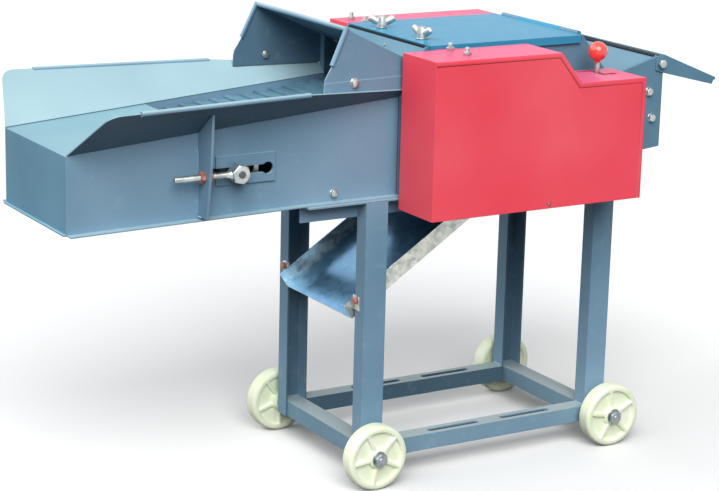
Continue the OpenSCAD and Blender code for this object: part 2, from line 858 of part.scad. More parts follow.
// Eye and screw that pull the tail axle toward the feed end
module eye_bolts() {
    color(steel)
        both_sides()
            difference() {
                union() {
                    rod_y(tail_axis, tail_axle_d / 2 + 8.5, -screw_y - 10, -screw_y + 10);
                    rod_x(-screw_y, tail_z, screw_d / 2, gusset_x - 52, tail_x - tail_axle_d / 2 - 3);
                }
                rod_y(tail_axis, tail_axle_d / 2 + run_gap, -screw_y - 11, -screw_y + 11);
            }
}

// Tapered plates under the wings that hold the tension screws
module tension_gussets() {
    top = fold_z(gusset_x - gusset_t / 2) - free_gap;
    color(paint)
        both_sides()
            difference() {
                along_x(gusset_x - gusset_t / 2, gusset_x + gusset_t / 2)
                    polygon([
                        [-trough_half, frame_top_z + sheet_t], [-screw_y - 8, frame_top_z + sheet_t],
                        [-screw_y - 21, tail_z + 22], [-screw_y - 26, top + (screw_y + 26 - trough_half) / wing_flare],
                        [-trough_half, top]
                    ]);
                rod_x(-screw_y, tail_z, screw_d / 2 + free_gap, gusset_x - gusset_t, gusset_x + gusset_t);
            }
}

module tension_nuts() {
    color("#a8695f")
        both_sides()
            for (x = [gusset_x - gusset_t / 2 - 8, gusset_x + gusset_t / 2])
                difference() {
                    translate([x, -screw_y, tail_z])
                        rotate([0, 90, 0])
                            cylinder(h = 8, r = screw_d * 0.95, $fn = 6);
                    rod_x(-screw_y, tail_z, screw_d / 2 + run_gap, x - 1, x + 9);
                }
}

// Toothed roller that presses the crop onto the belt
module upper_roller() {
    color(steel) {
        rod_y(upper_axis, upper_r - 5, -roller_half, roller_half);
        rod_y(upper_axis, upper_shaft_d / 2, -inner_gear_y - inner_gear_w - 2, casing_half + 10);
        along_y(-roller_half, roller_half)
            translate(upper_axis)
                for (i = [0 : upper_bars - 1])
                    rotate(i * 360 / upper_bars)
                        polygon([[upper_r - 6, -3.5], [upper_r, -1], [upper_r, 1], [upper_r - 6, 3.5]]);
    }
}

// Hood over the throat, narrowing toward the casing

// Plane of a hood side: x from the mouth line rearward, y up, thickness inward
module in_hood_plane() {
    translate([hood_mouth_x, -hood_half, 0])
        rotate([0, 0, hood_turn])
            rotate([90, 0, 0])
                translate([0, 0, -sheet_t])
                    children();
}

function hood_seat(x) =
    fold_z(x) + (inner_half(x) - trough_half + wing_lap + hood_lap) / wing_flare + sheet_t * 1.3 + free_gap;

// Half width of the hood inside its sides at x
function inner_half(x) = hood_half - (x - hood_mouth_x) * tan(hood_turn);

module feed_hood() {
    length = (hood_rear_x - hood_mouth_x) / cos(hood_turn);
    seam = rim_z + 12;
    mouth_foot = [-42, hood_seat(hood_mouth_x - 42)];
    seat_end = [trough_x1 - hood_mouth_x, hood_seat(trough_x1)];
    lip = [-27, hood_mouth_z - 57];
    lip_run = [0, hood_mouth_z] - lip;
    color(paint) {
        both_sides() {
            // Tab that closes the corner beside the throat
            block(
                [casing_x0, -inner_half(casing_x0) - 1, fold_throat_z - 2],
                [casing_x0 + sheet_t, -casing_half - free_gap, hood_top(casing_x0) - 2]
            );
            difference() {
                in_hood_plane() {
                    linear_extrude(sheet_t)
                        polygon([
                            [0, hood_mouth_z], lip, [-40, seam + 5], mouth_foot, seat_end,
                            [length, hood_seat(trough_x1)], [length, hood_top(hood_rear_x)],
                            [11, hood_top(hood_mouth_x + 11)]
                        ]);
                    linear_extrude(sheet_t + hood_lap)
                        polygon([[-41, seam], mouth_foot, seat_end, [length, hood_seat(trough_x1)], [length, seam]]);
                    translate(concat(lip, [sheet_t / 2]))
                        rotate([0, 0, atan2(lip_run[1], lip_run[0])])
                            hem(norm(lip_run));
                }
                in_hood_plane()
                    translate(concat(hood_bolt, [-1]))
                        cylinder(h = 8, r = bolt_d / 2 + bolt_gap);
            }
        }
        intersection() {
            along_y(-hood_half, hood_half)
                folded([
                    [hood_mouth_x, hood_mouth_z - 2], [hood_mouth_x + 11, hood_top(hood_mouth_x + 11) - 1],
                    [hood_rear_x, hood_top(hood_rear_x) - 1]
                ], sheet_t);
            linear_extrude(1000)
                polygon([
                    [hood_mouth_x - 5, -inner_half(hood_mouth_x - 5)], [hood_rear_x, -inner_half(hood_rear_x)],
                    [hood_rear_x, inner_half(hood_rear_x)], [hood_mouth_x - 5, inner_half(hood_mouth_x - 5)]
                ]);
        }
        rod_y([hood_mouth_x, hood_mouth_z - hem_d / 2 + 1], hem_d / 2, -hood_half + 1, hood_half - 1);
    }
}

// Casing

module casing_holes() {
    rod_y(rotor_axis, rotor_shaft_d / 2 + 4, -casing_half - 1, -casing_in + 1);
    rod_y(drive_axis, drive_shaft_d / 2 + 3 + free_gap, -casing_half - 1, -casing_in + 1);
    rod_y(upper_axis, upper_shaft_d / 2 + 3 + free_gap, -casing_half - 1, -casing_in + 1);
    for (p = casing_bolts)
        rod_y(p, bolt_d / 2 + bolt_gap, -casing_half - 1, -casing_in + 1);
    rod_y([flap_x, flap_z], bolt_d / 2 + bolt_gap, -casing_half - 1, -casing_in + 1);
}

seam_step = [[118, seam_z], [100, drive_z + 30]];

// Lower half plate, on the top rail
module casing_side(far) {
    color(paint)
        on_side(far)
            difference() {
                along_y(-casing_half, -casing_in)
                    polygon([
                        [casing_x0, frame_top_z], [leg_disch_x + leg_w / 2, frame_top_z],
                        [leg_disch_x + leg_w / 2 + 14, spout_floor_z - 12],
                        [casing_x1, spout_floor_z - 3], [casing_x1, seam_z],
                        seam_step[0], seam_step[1], [casing_x0, seam_step[1][1]]
                    ]);
                casing_holes();
            }
}

module casing_side_near() { casing_side(false); }
module casing_side_far() { casing_side(true); }

// Upper half plate, lifted off for work on the rotor
module casing_cheek(far) {
    front_x = hood_rear_x + 0.5;
    color(paint)
        on_side(far)
            difference() {
                along_y(-casing_half, -casing_in)
                    polygon([
                        [casing_x0, seam_step[1][1]], seam_step[1], seam_step[0], [casing_x1, seam_z],
                        [casing_x1, flap_z - 2], spout_tip + [0, -1], [valley_x, valley_z],
                        [hinge_x - 3, casing_top_z], [cover_x0 - 5, casing_top_z],
                        [front_x, hood_top(hood_rear_x) - 3], [casing_x0, hood_top(casing_x0) - 3]
                    ]);
                casing_holes();
            }
}

module casing_cheek_near() { casing_cheek(false); }
module casing_cheek_far() { casing_cheek(true); }

seal_t = 3;
front_flange_z = casing_top_z - seal_t;

// Slanted front of the casing with the flange that the hand knobs screw into
module casing_front() {
    color(paint)
        difference() {
            along_y(-casing_in, casing_in)
                folded([
                    [hood_rear_x + 1.5, hood_top(hood_rear_x) - 3.5], [cover_x0 - 6, front_flange_z - 1],
                    [knob_x + 14, front_flange_z - 1]
                ], sheet_t);
            for (s = [-1, 1])
                translate([knob_x, s * knob_y, front_flange_z - 10])
                    cylinder(h = 20, r = knob_screw_d / 2 + free_gap);
        }
}

// Sheet behind the cover: hinge knuckles, slope down and the rising spout top
module casing_back() {
    from = [hinge_x, hinge_z] + 4 * [0.65, -0.76];
    color(paint) {
        difference() {
            along_y(-casing_in, casing_in)
                folded([from, [valley_x, valley_z - 1], spout_tip + [0, -1]], sheet_t);
            rod_y([hinge_x, hinge_z], knuckle_r + 0.8, -knuckle_half - 1, knuckle_half + 1);
        }
        for (s = [-1, 1])
            rod_y([hinge_x, hinge_z], knuckle_r, s * (hinge_half + knuckle_half + 1) / 2 - 25.5,
                s * (hinge_half + knuckle_half + 1) / 2 + 25.5);
        rod_y([hinge_x, hinge_z], hinge_pin_d / 2, -hinge_half, hinge_half);
    }
}

// Strip under the feed edge of the cover and strip along the flap line
module rubber_seals() {
    rise = bearing_of([valley_x, valley_z], spout_tip);
    color(dark) {
        block([cover_x0 - 5, -casing_in, front_flange_z], [cover_x0 + 8, casing_in, casing_top_z]);
        along_y(-casing_in, casing_in)
            translate(spout_tip - 9 * [cos(rise), sin(rise)])
                rotate(rise)
                    translate([0, free_gap / 3])
                        square([5, 2]);
    }
}

// Rolled concave under the rotor, running out into the discharge floor
module rotor_concave() {
    r = knife_r + 6;
    t = 3;
    last = -25;
    end = rotor_axis + (r + t / 2) * [cos(last), sin(last)];
    color(steel) {
        along_y(-top_rail_y, top_rail_y)
            translate(rotor_axis)
                intersection() {
                    difference() {
                        circle(r = r + t, $fn = 96);
                        circle(r = r, $fn = 96);
                    }
                    polygon(concat([[0, 0]], [for (a = [-115, -85, -55, last]) 300 * [cos(a), sin(a)]]));
                }
        along_y(-casing_in, casing_in)
            folded([end, [casing_x1 - 2, spout_floor_z]], t);
    }
}

// Angle bar across the casing that carries the bed knife
module bed_bar() {
    x = drive_x + drive_r + 1;
    color(paint)
        along_y(-casing_in, casing_in) {
            translate([x, bed_z - 14])
                square([32, 6]);
            translate([x + 14, bed_z - 39])
                square([6, 26]);
        }
}

module bed_knife() {
    x = rotor_x - sqrt(pow(knife_r, 2) - pow(bed_z - rotor_z, 2)) - 3;
    color(steel)
        along_y(-casing_in + 7, casing_in - 7)
            polygon([
                [drive_x + 40, bed_z - 8], [x - 6, bed_z - 8], [x, bed_z - 1.5],
                [x, bed_z], [drive_x + 40, bed_z]
            ]);
}

// Galvanised chute under the rotor, hung on ears at the feed legs
module chute() {
    length = (chute_x1 - chute_x0) / cos(chute_rise);
    ear_x = leg_feed_x - leg_w / 2;
    color("#b9c2c4")
        difference() {
            union() {
                translate([chute_x0, 0, chute_z0])
                    rotate([0, -chute_rise, 0]) {
                        block([0, -chute_half, 0], [length, chute_half, chute_t]);
                        for (s = [-1, 1])
                            translate([0, s * (chute_half - chute_t / 2), 0])
                                block([0, -chute_t / 2, 0], [length, chute_t / 2, chute_wall]);
                    }
                both_sides()
                    block(
                        [ear_x - chute_t, -chute_bolt_y - 8, chute_bolt_z - 16],
                        [ear_x, -chute_half + chute_t, chute_bolt_z + 8]
                    );
            }
            both_sides()
                rod_x(-chute_bolt_y, chute_bolt_z, bolt_d / 2 + bolt_gap, ear_x - 5, ear_x + 5);
        }
}

// Guards

function gear_guard_outline(t) =
    let (k = t * 0.478) [
        [gear_guard_x0 + t, guard_foot_z - (t > 0 ? 1 : 0)],
        [gear_guard_x1 - t, guard_foot_z - (t > 0 ? 1 : 0)],
        [gear_guard_x1 - t, guard_step_z - t],
        [guard_slope_x1 - k, guard_step_z - t],
        [guard_slope_x0 - k, gear_guard_z - t],
        [gear_guard_x0 + t, gear_guard_z - t]
    ];

// Strap from the casing out under the top of a guard, stepped below the cover flange
module guard_strap(x, foot_x, top, reach) {
    step_z = casing_top_z - cover_flange - 8;
    y = cover_half + 4.5;
    along_x(x - 16, x + 26)
        folded([[-reach, top - 1.5], [-y, top - 1.5], [-y, step_z], [-casing_half, step_z]], 3);
    block([foot_x, -casing_half - 3, step_z - 40], [x + 26, -casing_half, step_z]);
}

lever_reach = (guard_step_z - lever_z) * tan(lever_tilt) + lever_rod_d / 2 + 1;

// Gear guard: folded box open at the back and foot, with its brackets and the lever gate
module gear_guard() {
    inner_top = gear_guard_z - guard_t;
    color(red) {
        difference() {
            along_y(-gear_guard_y, -guard_back_y)
                polygon(gear_guard_outline(0));
            along_y(-gear_guard_y + guard_t, -guard_back_y + 1)
                polygon(gear_guard_outline(guard_t));
            translate([lever_x, -lever_y, guard_step_z - 5])
                linear_extrude(10) {
                    square([lever_rod_d + 3, 2 * lever_reach], center = true);
                    for (s = [-1, 1])
                        translate([s * 13, -s * (lever_reach - lever_rod_d / 2 - 1.5)])
                            square([26, lever_rod_d + 3], center = true);
                }
            for (y = guard_bolt_y)
                translate([guard_bolt_x, -y, inner_top - 6])
                    cylinder(h = 20, r = bolt_d / 2 + bolt_gap);
            rod_y(stay_screw, bolt_d / 2 + bolt_gap, -gear_guard_y - 1, -gear_guard_y + 10);
        }
        difference() {
            guard_strap(guard_bolt_x, upper_axis[0] + upper_shaft_d / 2 + 12, inner_top, guard_bolt_y[1] + 15);
            for (y = guard_bolt_y)
                translate([guard_bolt_x, -y, inner_top - 6])
                    cylinder(h = 20, r = bolt_d / 2 + bolt_gap);
        }
        block([gear_guard_x1 - guard_t - 3, -guard_back_y - 15, guard_step_z - 47],
            [gear_guard_x1 - guard_t, -casing_half, guard_step_z - 17]);
        block([gear_guard_x1 - guard_t - 25, -casing_half - 3, guard_step_z - 47],
            [gear_guard_x1 - guard_t, -casing_half, guard_step_z - 17]);
        difference() {
            union() {
                block([stay_screw[0] - 10, -gear_guard_y + guard_t, leg_top_z - 3.5],
                    [stay_screw[0] + 10, -leg_inner_y - 2, leg_top_z]);
                block([stay_screw[0] - 10, -gear_guard_y + guard_t, guard_foot_z + 1],
                    [stay_screw[0] + 10, -gear_guard_y + guard_t + 3, leg_top_z]);
            }
            rod_y(stay_screw, bolt_d / 2 + bolt_gap, -gear_guard_y - 1, -gear_guard_y + 10);
        }
    }
}

// Pulley guard on the far side, open at the back and foot for the motor belts
module pulley_guard() {
    inner_top = pulley_guard_z - guard_t;
    color(red) {
        difference() {
            block(
                [pulley_guard_x0, guard_back_y, guard_foot_z],
                [pulley_guard_x1, pulley_guard_y, pulley_guard_z]
            );
            block(
                [pulley_guard_x0 + guard_t, guard_back_y - 1, guard_foot_z - 1],
                [pulley_guard_x1 - guard_t, pulley_guard_y - guard_t, inner_top]
            );
            for (y = pulley_bolt_y)
                translate([pulley_bolt_x, y, inner_top - 6])
                    cylinder(h = 20, r = bolt_d / 2 + bolt_gap);
        }
        difference() {
            on_side(true)
                guard_strap(pulley_bolt_x, pulley_bolt_x - 16, inner_top, pulley_bolt_y[1] + 10);
            for (y = pulley_bolt_y)
                translate([pulley_bolt_x, y, inner_top - 6])
                    cylinder(h = 20, r = bolt_d / 2 + bolt_gap);
        }
        block([stay_screw[0] - 10, leg_inner_y + 2, leg_top_z - 3.5],
            [stay_screw[0] + 10, pulley_guard_y - guard_t, leg_top_z]);
    }
}

// Bearings, studs and fasteners

module bush(axis, shaft_d) {
    difference() {
        union() {
            rod_y(axis, shaft_d / 2 + 10, -casing_half - 6, -casing_half);
            rod_y(axis, shaft_d / 2 + 3, -casing_half, -casing_in);
        }
        rod_y(axis, shaft_d / 2 + run_gap, -casing_half - 7, -casing_in + 1);
    }
}

// Flanged bearings of the rotor and flanged bushes of the feed rollers
module shaft_bearings() {
    side = rotor_shaft_d + 54;
    color(steel)
        both_sides() {
            difference() {
                union() {
                    block(
                        [rotor_x - side / 2, -casing_half - 9, rotor_z - side / 2],
                        [rotor_x + side / 2, -casing_half, rotor_z + side / 2]
                    );
                    rod_y(rotor_axis, rotor_shaft_d / 2 + 15, -casing_half - bearing_t, -casing_half);
                }
                rod_y(rotor_axis, rotor_shaft_d / 2 + run_gap, -casing_half - bearing_t - 1, -casing_half + 1);
            }
            bush(drive_axis, drive_shaft_d);
            bush(upper_axis, upper_shaft_d);
        }
}

stud_r = 9;

module stud(axis, end_y) {
    rod_y(axis, stud_r, -end_y - 4, -casing_half);
    rod_y(axis, stud_r + 5, -inner_gear_y + free_gap, -casing_half);
    rod_y(axis, stud_r + 5, -end_y - 4, -end_y - free_gap);
}

// Studs that the layshaft gears and the idler turn on, and lugs of the rockshaft
module shaft_supports() {
    color(steel) {
        stud(lay_axis, gear_end_y);
        stud(idler_at, inner_gear_y + inner_gear_w);
        for (x = [lever_x - 52, lever_x + 14])
            difference() {
                block([x, -lever_y - 10, lever_z - 11], [x + 8, -casing_half, lever_z + 11]);
                rod_x(-lever_y, lever_z, 6 + run_gap, x - 1, x + 9);
            }
    }
}

// Bolt along Y into a near face at y, with its washer, hex head and nut
module side_bolt(at, y, grip) {
    rod_y(at, bolt_d / 2, -y, -y + grip + 7);
    rod_y(at, bolt_d + 2, -y - 1.8, -y);
    translate([at[0], -y - 1.8, at[1]])
        rotate([90, 0, 0])
            cylinder(h = 5.5, r = bolt_d * 0.9, $fn = 6);
    translate([at[0], -y + grip, at[1]])
        rotate([-90, 0, 0])
            cylinder(h = 6, r = bolt_d * 0.9, $fn = 6);
}

// Screw along Y into a near face at y
module side_screw(at, y, grip) {
    rod_y(at, bolt_d / 2, -y - 1, -y + grip);
    rod_y(at, bolt_d * 0.85, -y - 3.5, -y);
}

module top_bolt(x, y, z, grip) {
    translate([x, y, z]) {
        translate([0, 0, -grip - 6])
            cylinder(h = grip + 7, r = bolt_d / 2);
        cylinder(h = 5.5, r = bolt_d * 0.9, $fn = 6);
        translate([0, 0, -grip - 5])
            cylinder(h = 5, r = bolt_d * 0.9, $fn = 6);
    }
}

module zinc_bolts() {
    color(zinc) {
        both_sides() {
            for (p = casing_bolts)
                side_bolt(p, casing_half, casing_t);
            side_bolt(trough_bolt, trough_half, sheet_t);
            in_hood_plane()
                translate(concat(hood_bolt, [sheet_t])) {
                    translate([0, 0, -sheet_t - 8])
                        cylinder(h = sheet_t + 10, r = bolt_d / 2);
                    translate([0, 0, -sheet_t - 6])
                        cylinder(h = 6, r = bolt_d * 0.9, $fn = 6);
                    translate([0, 0, 1.2])
                        cylinder(h = 1.8, r = bolt_d + 2);
                    translate([0, 0, 3])
                        cylinder(h = 5.5, r = bolt_d * 0.9, $fn = 6);
                }
            rod_x(-chute_bolt_y, chute_bolt_z, bolt_d / 2,
                leg_feed_x - leg_w / 2 - chute_t, leg_feed_x - leg_w / 2 + channel_t + 6);
            translate([leg_feed_x - leg_w / 2 - chute_t - 5, -chute_bolt_y, chute_bolt_z])
                rotate([0, 90, 0])
                    cylinder(h = 5, r = bolt_d * 0.9, $fn = 6);
            rod_y([flap_x, flap_z], bolt_d / 2, -casing_half - 4.5, -casing_in + 7);
            translate([flap_x, -casing_half - 4.2, flap_z])
                rotate([90, 0, 0])
                    cylinder(h = 6, r = bolt_d * 0.95, $fn = 6);
            translate([flap_x, -casing_in, flap_z])
                rotate([-90, 0, 0])
                    cylinder(h = 6, r = bolt_d * 0.9, $fn = 6);
        }
        for (y = guard_bolt_y)
            top_bolt(guard_bolt_x, -y, gear_guard_z, guard_t + 3);
        for (y = pulley_bolt_y)
            top_bolt(pulley_bolt_x, y, pulley_guard_z, guard_t + 3);
        side_screw(stay_screw, gear_guard_y, guard_t + 3);
    }
}

// Moving covers

module top_cover() {
    plate_x1 = hinge_x - 6;
    color("#5fb3dd")
        difference() {
            union() {
                block([cover_x0, -cover_half, casing_top_z], [plate_x1, cover_half, casing_top_z + cover_t]);
                for (y = [-cover_half, cover_half - cover_t])
                    block(
                        [cover_x0, y, casing_top_z - cover_flange],
                        [plate_x1 - 2, y + cover_t, casing_top_z + cover_t]
                    );
                block([plate_x1 - 1, -knuckle_half, casing_top_z], [hinge_x, knuckle_half, casing_top_z + cover_t]);
                rod_y([hinge_x, hinge_z], knuckle_r, -knuckle_half, knuckle_half);
            }
            rod_y([hinge_x, hinge_z], hinge_pin_d / 2 + run_gap, -knuckle_half - 1, knuckle_half + 1);
            for (s = [-1, 1])
                translate([knob_x, s * knob_y, casing_top_z - 1])
                    cylinder(h = cover_t + 2, r = knob_screw_d / 2 + run_gap);
        }
}

// Hand knob with two wings on a screw that is captive in the cover
module knob(s) {
    top = casing_top_z + cover_t + free_gap;
    color(zinc)
        translate([knob_x, s * knob_y, 0]) {
            translate([0, 0, front_flange_z - 8])
                cylinder(h = top - front_flange_z + 20, r = knob_screw_d / 2);
            translate([0, 0, top])
                cylinder(h = 2, r = knob_screw_d + 2);
            translate([0, 0, top + 2])
                cylinder(h = 12, r1 = 9, r2 = 7);
            rotate([0, 0, 60])
                rotate([90, 0, 0])
                    translate([0, 0, -2.5])
                        linear_extrude(5)
                            polygon([
                                [-6, top + 3], [6, top + 3], [20, top + 12], [22, top + 20],
                                [15, top + 21], [5, top + 12], [-5, top + 12], [-15, top + 21],
                                [-22, top + 20], [-20, top + 12]
                            ]);
        }
}

module knob_near() { knob(-1); }
module knob_far() { knob(1); }

// Deflector over the outlet: bent plate with tapered side flanges on two pivots
module deflector_flap() {
    inner = casing_half + free_gap;
    outer = inner + 2;
    root = [flap_x + 6, flap_z + 14];
    color(paint)
        difference() {
            union() {
                both_sides()
                    along_y(-outer, -inner)
                        polygon([
                            [flap_x - 10, flap_z + 12], [flap_x - 10, flap_z - 11], [flap_x + 4, flap_z - 16],
                            flap_tip + [-6, -11], flap_tip, root + [0, 1]
                        ]);
                along_y(-outer, outer)
                    folded([root, flap_tip], 2);
                rod_y(flap_tip + [-1, -1.5], 2.5, -outer, outer);
            }
            both_sides()
                rod_y([flap_x, flap_z], bolt_d / 2 + run_gap, -outer - 1, -inner + 1);
        }
}

// Rotor

// Shaft with two welded spiders whose arms carry the knives
module rotor() {
    color(steel) {
        rod_y(rotor_axis, rotor_shaft_d / 2, -casing_half - bearing_t - 3, gear_end_y - 4);
        rod_y(rotor_axis, rotor_end_d / 2, -gear_end_y - 4, -casing_half - bearing_t);
        for (y = [-0.76, 0.76] * knife_half)
            along_y(y - 7, y + 7)
                translate(rotor_axis) {
                    circle(r = rotor_shaft_d / 2 + 13);
                    for (i = [0 : knives - 1])
                        rotate(45 + i * 360 / knives)
                            translate([10, -16])
                                square([knife_r - 25, 16]);
                }
    }
}

module rotor_knives() {
    inner = knife_r - 49;
    color("#c3c8cc")
        along_y(-knife_half, knife_half)
            translate(rotor_axis)
                for (i = [0 : knives - 1])
                    rotate(45 + i * 360 / knives)
                        polygon([
                            [inner, 0], [knife_r - 7, 0], [knife_r, knife_t * 0.6],
                            [knife_r, knife_t], [inner, knife_t]
                        ]);
}

// Belt pulley on the far end of the rotor shaft
module drive_pulley() {
    y0 = casing_half + bearing_t + 7;
    w = 44;
    pitch = 20;
    color(dark)
        difference() {
            translate([rotor_x, 0, rotor_z])
                rotate([-90, 0, 0])
                    rotate_extrude($fn = 96)
                        difference() {
                            polygon([
                                [rotor_shaft_d / 2 + run_gap, y0], [rotor_shaft_d / 2 + 14, y0],
                                [rotor_shaft_d / 2 + 14, y0 + w / 2 - 5], [pulley_r - 24, y0 + w / 2 - 5],
                                [pulley_r - 20, y0], [pulley_r, y0], [pulley_r, y0 + w], [pulley_r - 20, y0 + w],
                                [pulley_r - 24, y0 + w / 2 + 5], [rotor_shaft_d / 2 + 14, y0 + w / 2 + 5],
                                [rotor_shaft_d / 2 + 14, y0 + w], [rotor_shaft_d / 2 + run_gap, y0 + w]
                            ]);
                            for (i = [0 : pulley_grooves - 1])
                                translate([pulley_r, y0 + w / 2 + (i - (pulley_grooves - 1) / 2) * pitch])
                                    polygon([[1, -7.5], [-13, -4.5], [-13, 4.5], [1, 7.5]]);
                        }
            for (i = [0 : 4])
                translate([rotor_x + 52 * cos(i * 72), 0, rotor_z + 52 * sin(i * 72)])
                    rotate([-90, 0, 0])
                        cylinder(h = y0 + w, r = 15);
        }
}

// Gear train

module rotor_pinion() {
    color(steel)
        difference() {
            gear_at(rotor_axis, rotor_teeth, rotor_phase, outer_gear_y, outer_gear_w);
            rod_y(rotor_axis, rotor_end_d / 2 + run_gap, -gear_end_y - 1, -outer_gear_y + 1);
        }
}

module layshaft_gears() {
    color(steel)
        difference() {
            union() {
                gear_at(lay_axis, lay_teeth, lay_phase, outer_gear_y, outer_gear_w);
                gear_at(lay_axis, lay_small_teeth, lay_phase, inner_gear_y, inner_gear_w);
                rod_y(lay_axis, stud_r + 5, -outer_gear_y, -inner_gear_y - inner_gear_w);
            }
            rod_y(lay_axis, stud_r + run_gap, -gear_end_y - 1, -inner_gear_y + 1);
        }
}

module idler_gear() {
    color(dark)
        difference() {
            gear_at(idler_at, idler_teeth, idler_phase, inner_gear_y, inner_gear_w);
            rod_y(idler_at, stud_r + run_gap, -inner_gear_y - inner_gear_w - 1, -inner_gear_y + 1);
        }
}

module drive_roller_gear() {
    color(steel)
        difference() {
            gear_at(drive_axis, drive_teeth, drive_phase, inner_gear_y, inner_gear_w);
            rod_y(drive_axis, drive_shaft_d / 2 + run_gap, -inner_gear_y - inner_gear_w - 1, -inner_gear_y + 1);
        }
}

module upper_roller_gear() {
    color(steel)
        difference() {
            gear_at(upper_axis, upper_teeth, upper_phase, inner_gear_y, inner_gear_w);
            rod_y(upper_axis, upper_shaft_d / 2 + run_gap, -inner_gear_y - inner_gear_w - 1, -inner_gear_y + 1);
        }
}

// Shift lever

// Lever rod, rockshaft and fork welded together
module shift_lever() {
    arm = collar_r + 6;
    color(zinc) {
        rod_x(-lever_y, lever_z, 6, rotor_x - arm - 3, lever_x + 22);
        rod_x(-lever_y, lever_z, 10, lever_x - 9, lever_x + 9);
        translate([lever_x, -lever_y, lever_z])
            cylinder(h = ball_z - lever_z - 4, r = lever_rod_d / 2);
        for (s = [-1, 1]) {
            block(
                [rotor_x + s * arm - 3, -lever_y - 6, lever_z],
                [rotor_x + s * arm + 3, -lever_y + 6, rotor_z + 6]
            );
            rod_x(-lever_y, rotor_z, fork_pin_d / 2, rotor_x + (s < 0 ? -arm : collar_r - 3),
                rotor_x + (s < 0 ? 3 - collar_r : arm));
        }
    }
}

module lever_ball() {
    color("#f0453a")
        translate([lever_x, -lever_y, ball_z])
            difference() {
                sphere(r = ball_r, $fn = 64);
                translate([0, 0, -ball_r - 1])
                    cylinder(h = ball_r - 3, r = lever_rod_d / 2 + run_gap);
            }
}

// Grooved collar that slides on the rotor shaft
module clutch_collar() {
    color(steel)
        difference() {
            rod_y(rotor_axis, collar_r, -lever_y - collar_w / 2, -lever_y + collar_w / 2);
            difference() {
                rod_y(rotor_axis, collar_r + 1, -lever_y - groove_w / 2, -lever_y + groove_w / 2);
                rod_y(rotor_axis, collar_r - 4, -lever_y - groove_w, -lever_y + groove_w);
            }
            rod_y(rotor_axis, rotor_end_d / 2 + run_gap, -lever_y - collar_w, -lever_y + collar_w);
        }
}

translate(shift) {
    leg_near_feed();
    leg_far_feed();
    leg_near_discharge();
    leg_far_discharge();
    base_rail_near();
    base_rail_far();
    base_cross_feed();
    base_cross_discharge();
    top_rail_near();
    top_rail_far();
    wheel_axles();
    wheel_near_feed();
    wheel_far_feed();
    wheel_near_discharge();
    wheel_far_discharge();
    trough_side_near();
    trough_side_far();
    feed_table();
    belt_bed();
    conveyor_belt();
    drive_roller();
    drive_roller_gear();
    tail_roller();
    tail_axle();
    eye_bolts();
    tension_gussets();
    tension_nuts();
    upper_roller();
    upper_roller_gear();
    feed_hood();
    casing_side_near();
    casing_side_far();
    casing_cheek_near();
    casing_cheek_far();
    casing_front();
    casing_back();
    rubber_seals();
    rotor_concave();
    bed_bar();
    bed_knife();
    chute();
    gear_guard();
    pulley_guard();
    shaft_bearings();
    shaft_supports();
    zinc_bolts();
    top_cover();
    knob_near();
    knob_far();
    deflector_flap();
    rotor();
    rotor_knives();
    drive_pulley();
    rotor_pinion();
    layshaft_gears();
    idler_gear();
    shift_lever();
    lever_ball();
    clutch_collar();
}
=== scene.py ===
# %% [markdown]
# # A conveyor-fed chaff cutter
#
# The machine is sheet steel on a wheeled channel frame: a painted feed trough, a hooded
# throat, a casing with the bladed rotor, red guards over gears and pulley, a blue cover and
# a galvanised chute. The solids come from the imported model. This file gives them their
# finishes and adds the small things that a hand would feel: hexagon heads, screw threads,
# moulded wheels, cast wing nuts and weld beads.

import json
import math

import bpy
import numpy as np
from mathutils import Matrix, Vector


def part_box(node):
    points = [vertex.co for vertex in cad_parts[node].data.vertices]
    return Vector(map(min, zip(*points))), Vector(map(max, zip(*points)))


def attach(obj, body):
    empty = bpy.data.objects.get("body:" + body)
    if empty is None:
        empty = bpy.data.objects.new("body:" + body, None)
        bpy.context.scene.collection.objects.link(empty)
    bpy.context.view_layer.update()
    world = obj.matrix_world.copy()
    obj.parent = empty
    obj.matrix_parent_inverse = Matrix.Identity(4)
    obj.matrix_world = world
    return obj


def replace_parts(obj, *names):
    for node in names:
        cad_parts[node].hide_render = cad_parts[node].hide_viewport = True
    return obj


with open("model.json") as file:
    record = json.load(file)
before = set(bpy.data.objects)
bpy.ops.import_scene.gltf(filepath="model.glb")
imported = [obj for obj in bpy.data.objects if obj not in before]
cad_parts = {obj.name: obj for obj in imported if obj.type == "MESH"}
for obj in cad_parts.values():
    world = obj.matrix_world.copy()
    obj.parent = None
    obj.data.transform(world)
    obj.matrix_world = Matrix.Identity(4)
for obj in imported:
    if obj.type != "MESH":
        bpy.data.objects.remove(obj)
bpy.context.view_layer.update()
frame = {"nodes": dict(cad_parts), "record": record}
NODES = frame["nodes"]

# %% [markdown]
# ## Places on the machine
#
# The drawing of the machine counts in millimetres from its own datum, with the feed end at
# minus X and the gear side at minus Y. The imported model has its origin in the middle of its
# box, so one shift turns a drawing place into a model place. The foot of the near feed leg
# is a corner that is known in both, and the difference is the shift.

# %% Drawing places to model places
LEG_FOOT = np.array([-72.0, -139.0, 39.0])
SHIFT = np.array(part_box("leg_near_feed")[0]) * 1000.0 - LEG_FOOT
SIDES = (-1.0, 1.0)  # the gear side and the pulley side


def place(points):
    """Drawing millimetres to model metres: add the shift, divide by a thousand."""
    return (np.asarray(points, float) + SHIFT) / 1000.0


print("shift of the drawing:", SHIFT.round(3), "mm")

# %% [markdown]
# ## Camera
#
# The machine is seen from the feed end, a little above the trough, through a long lens.
# The camera stands where the square corners of the frame line up with that view. The lens
# is given for a sensor 36 mm wide and an image 719 pixels wide.

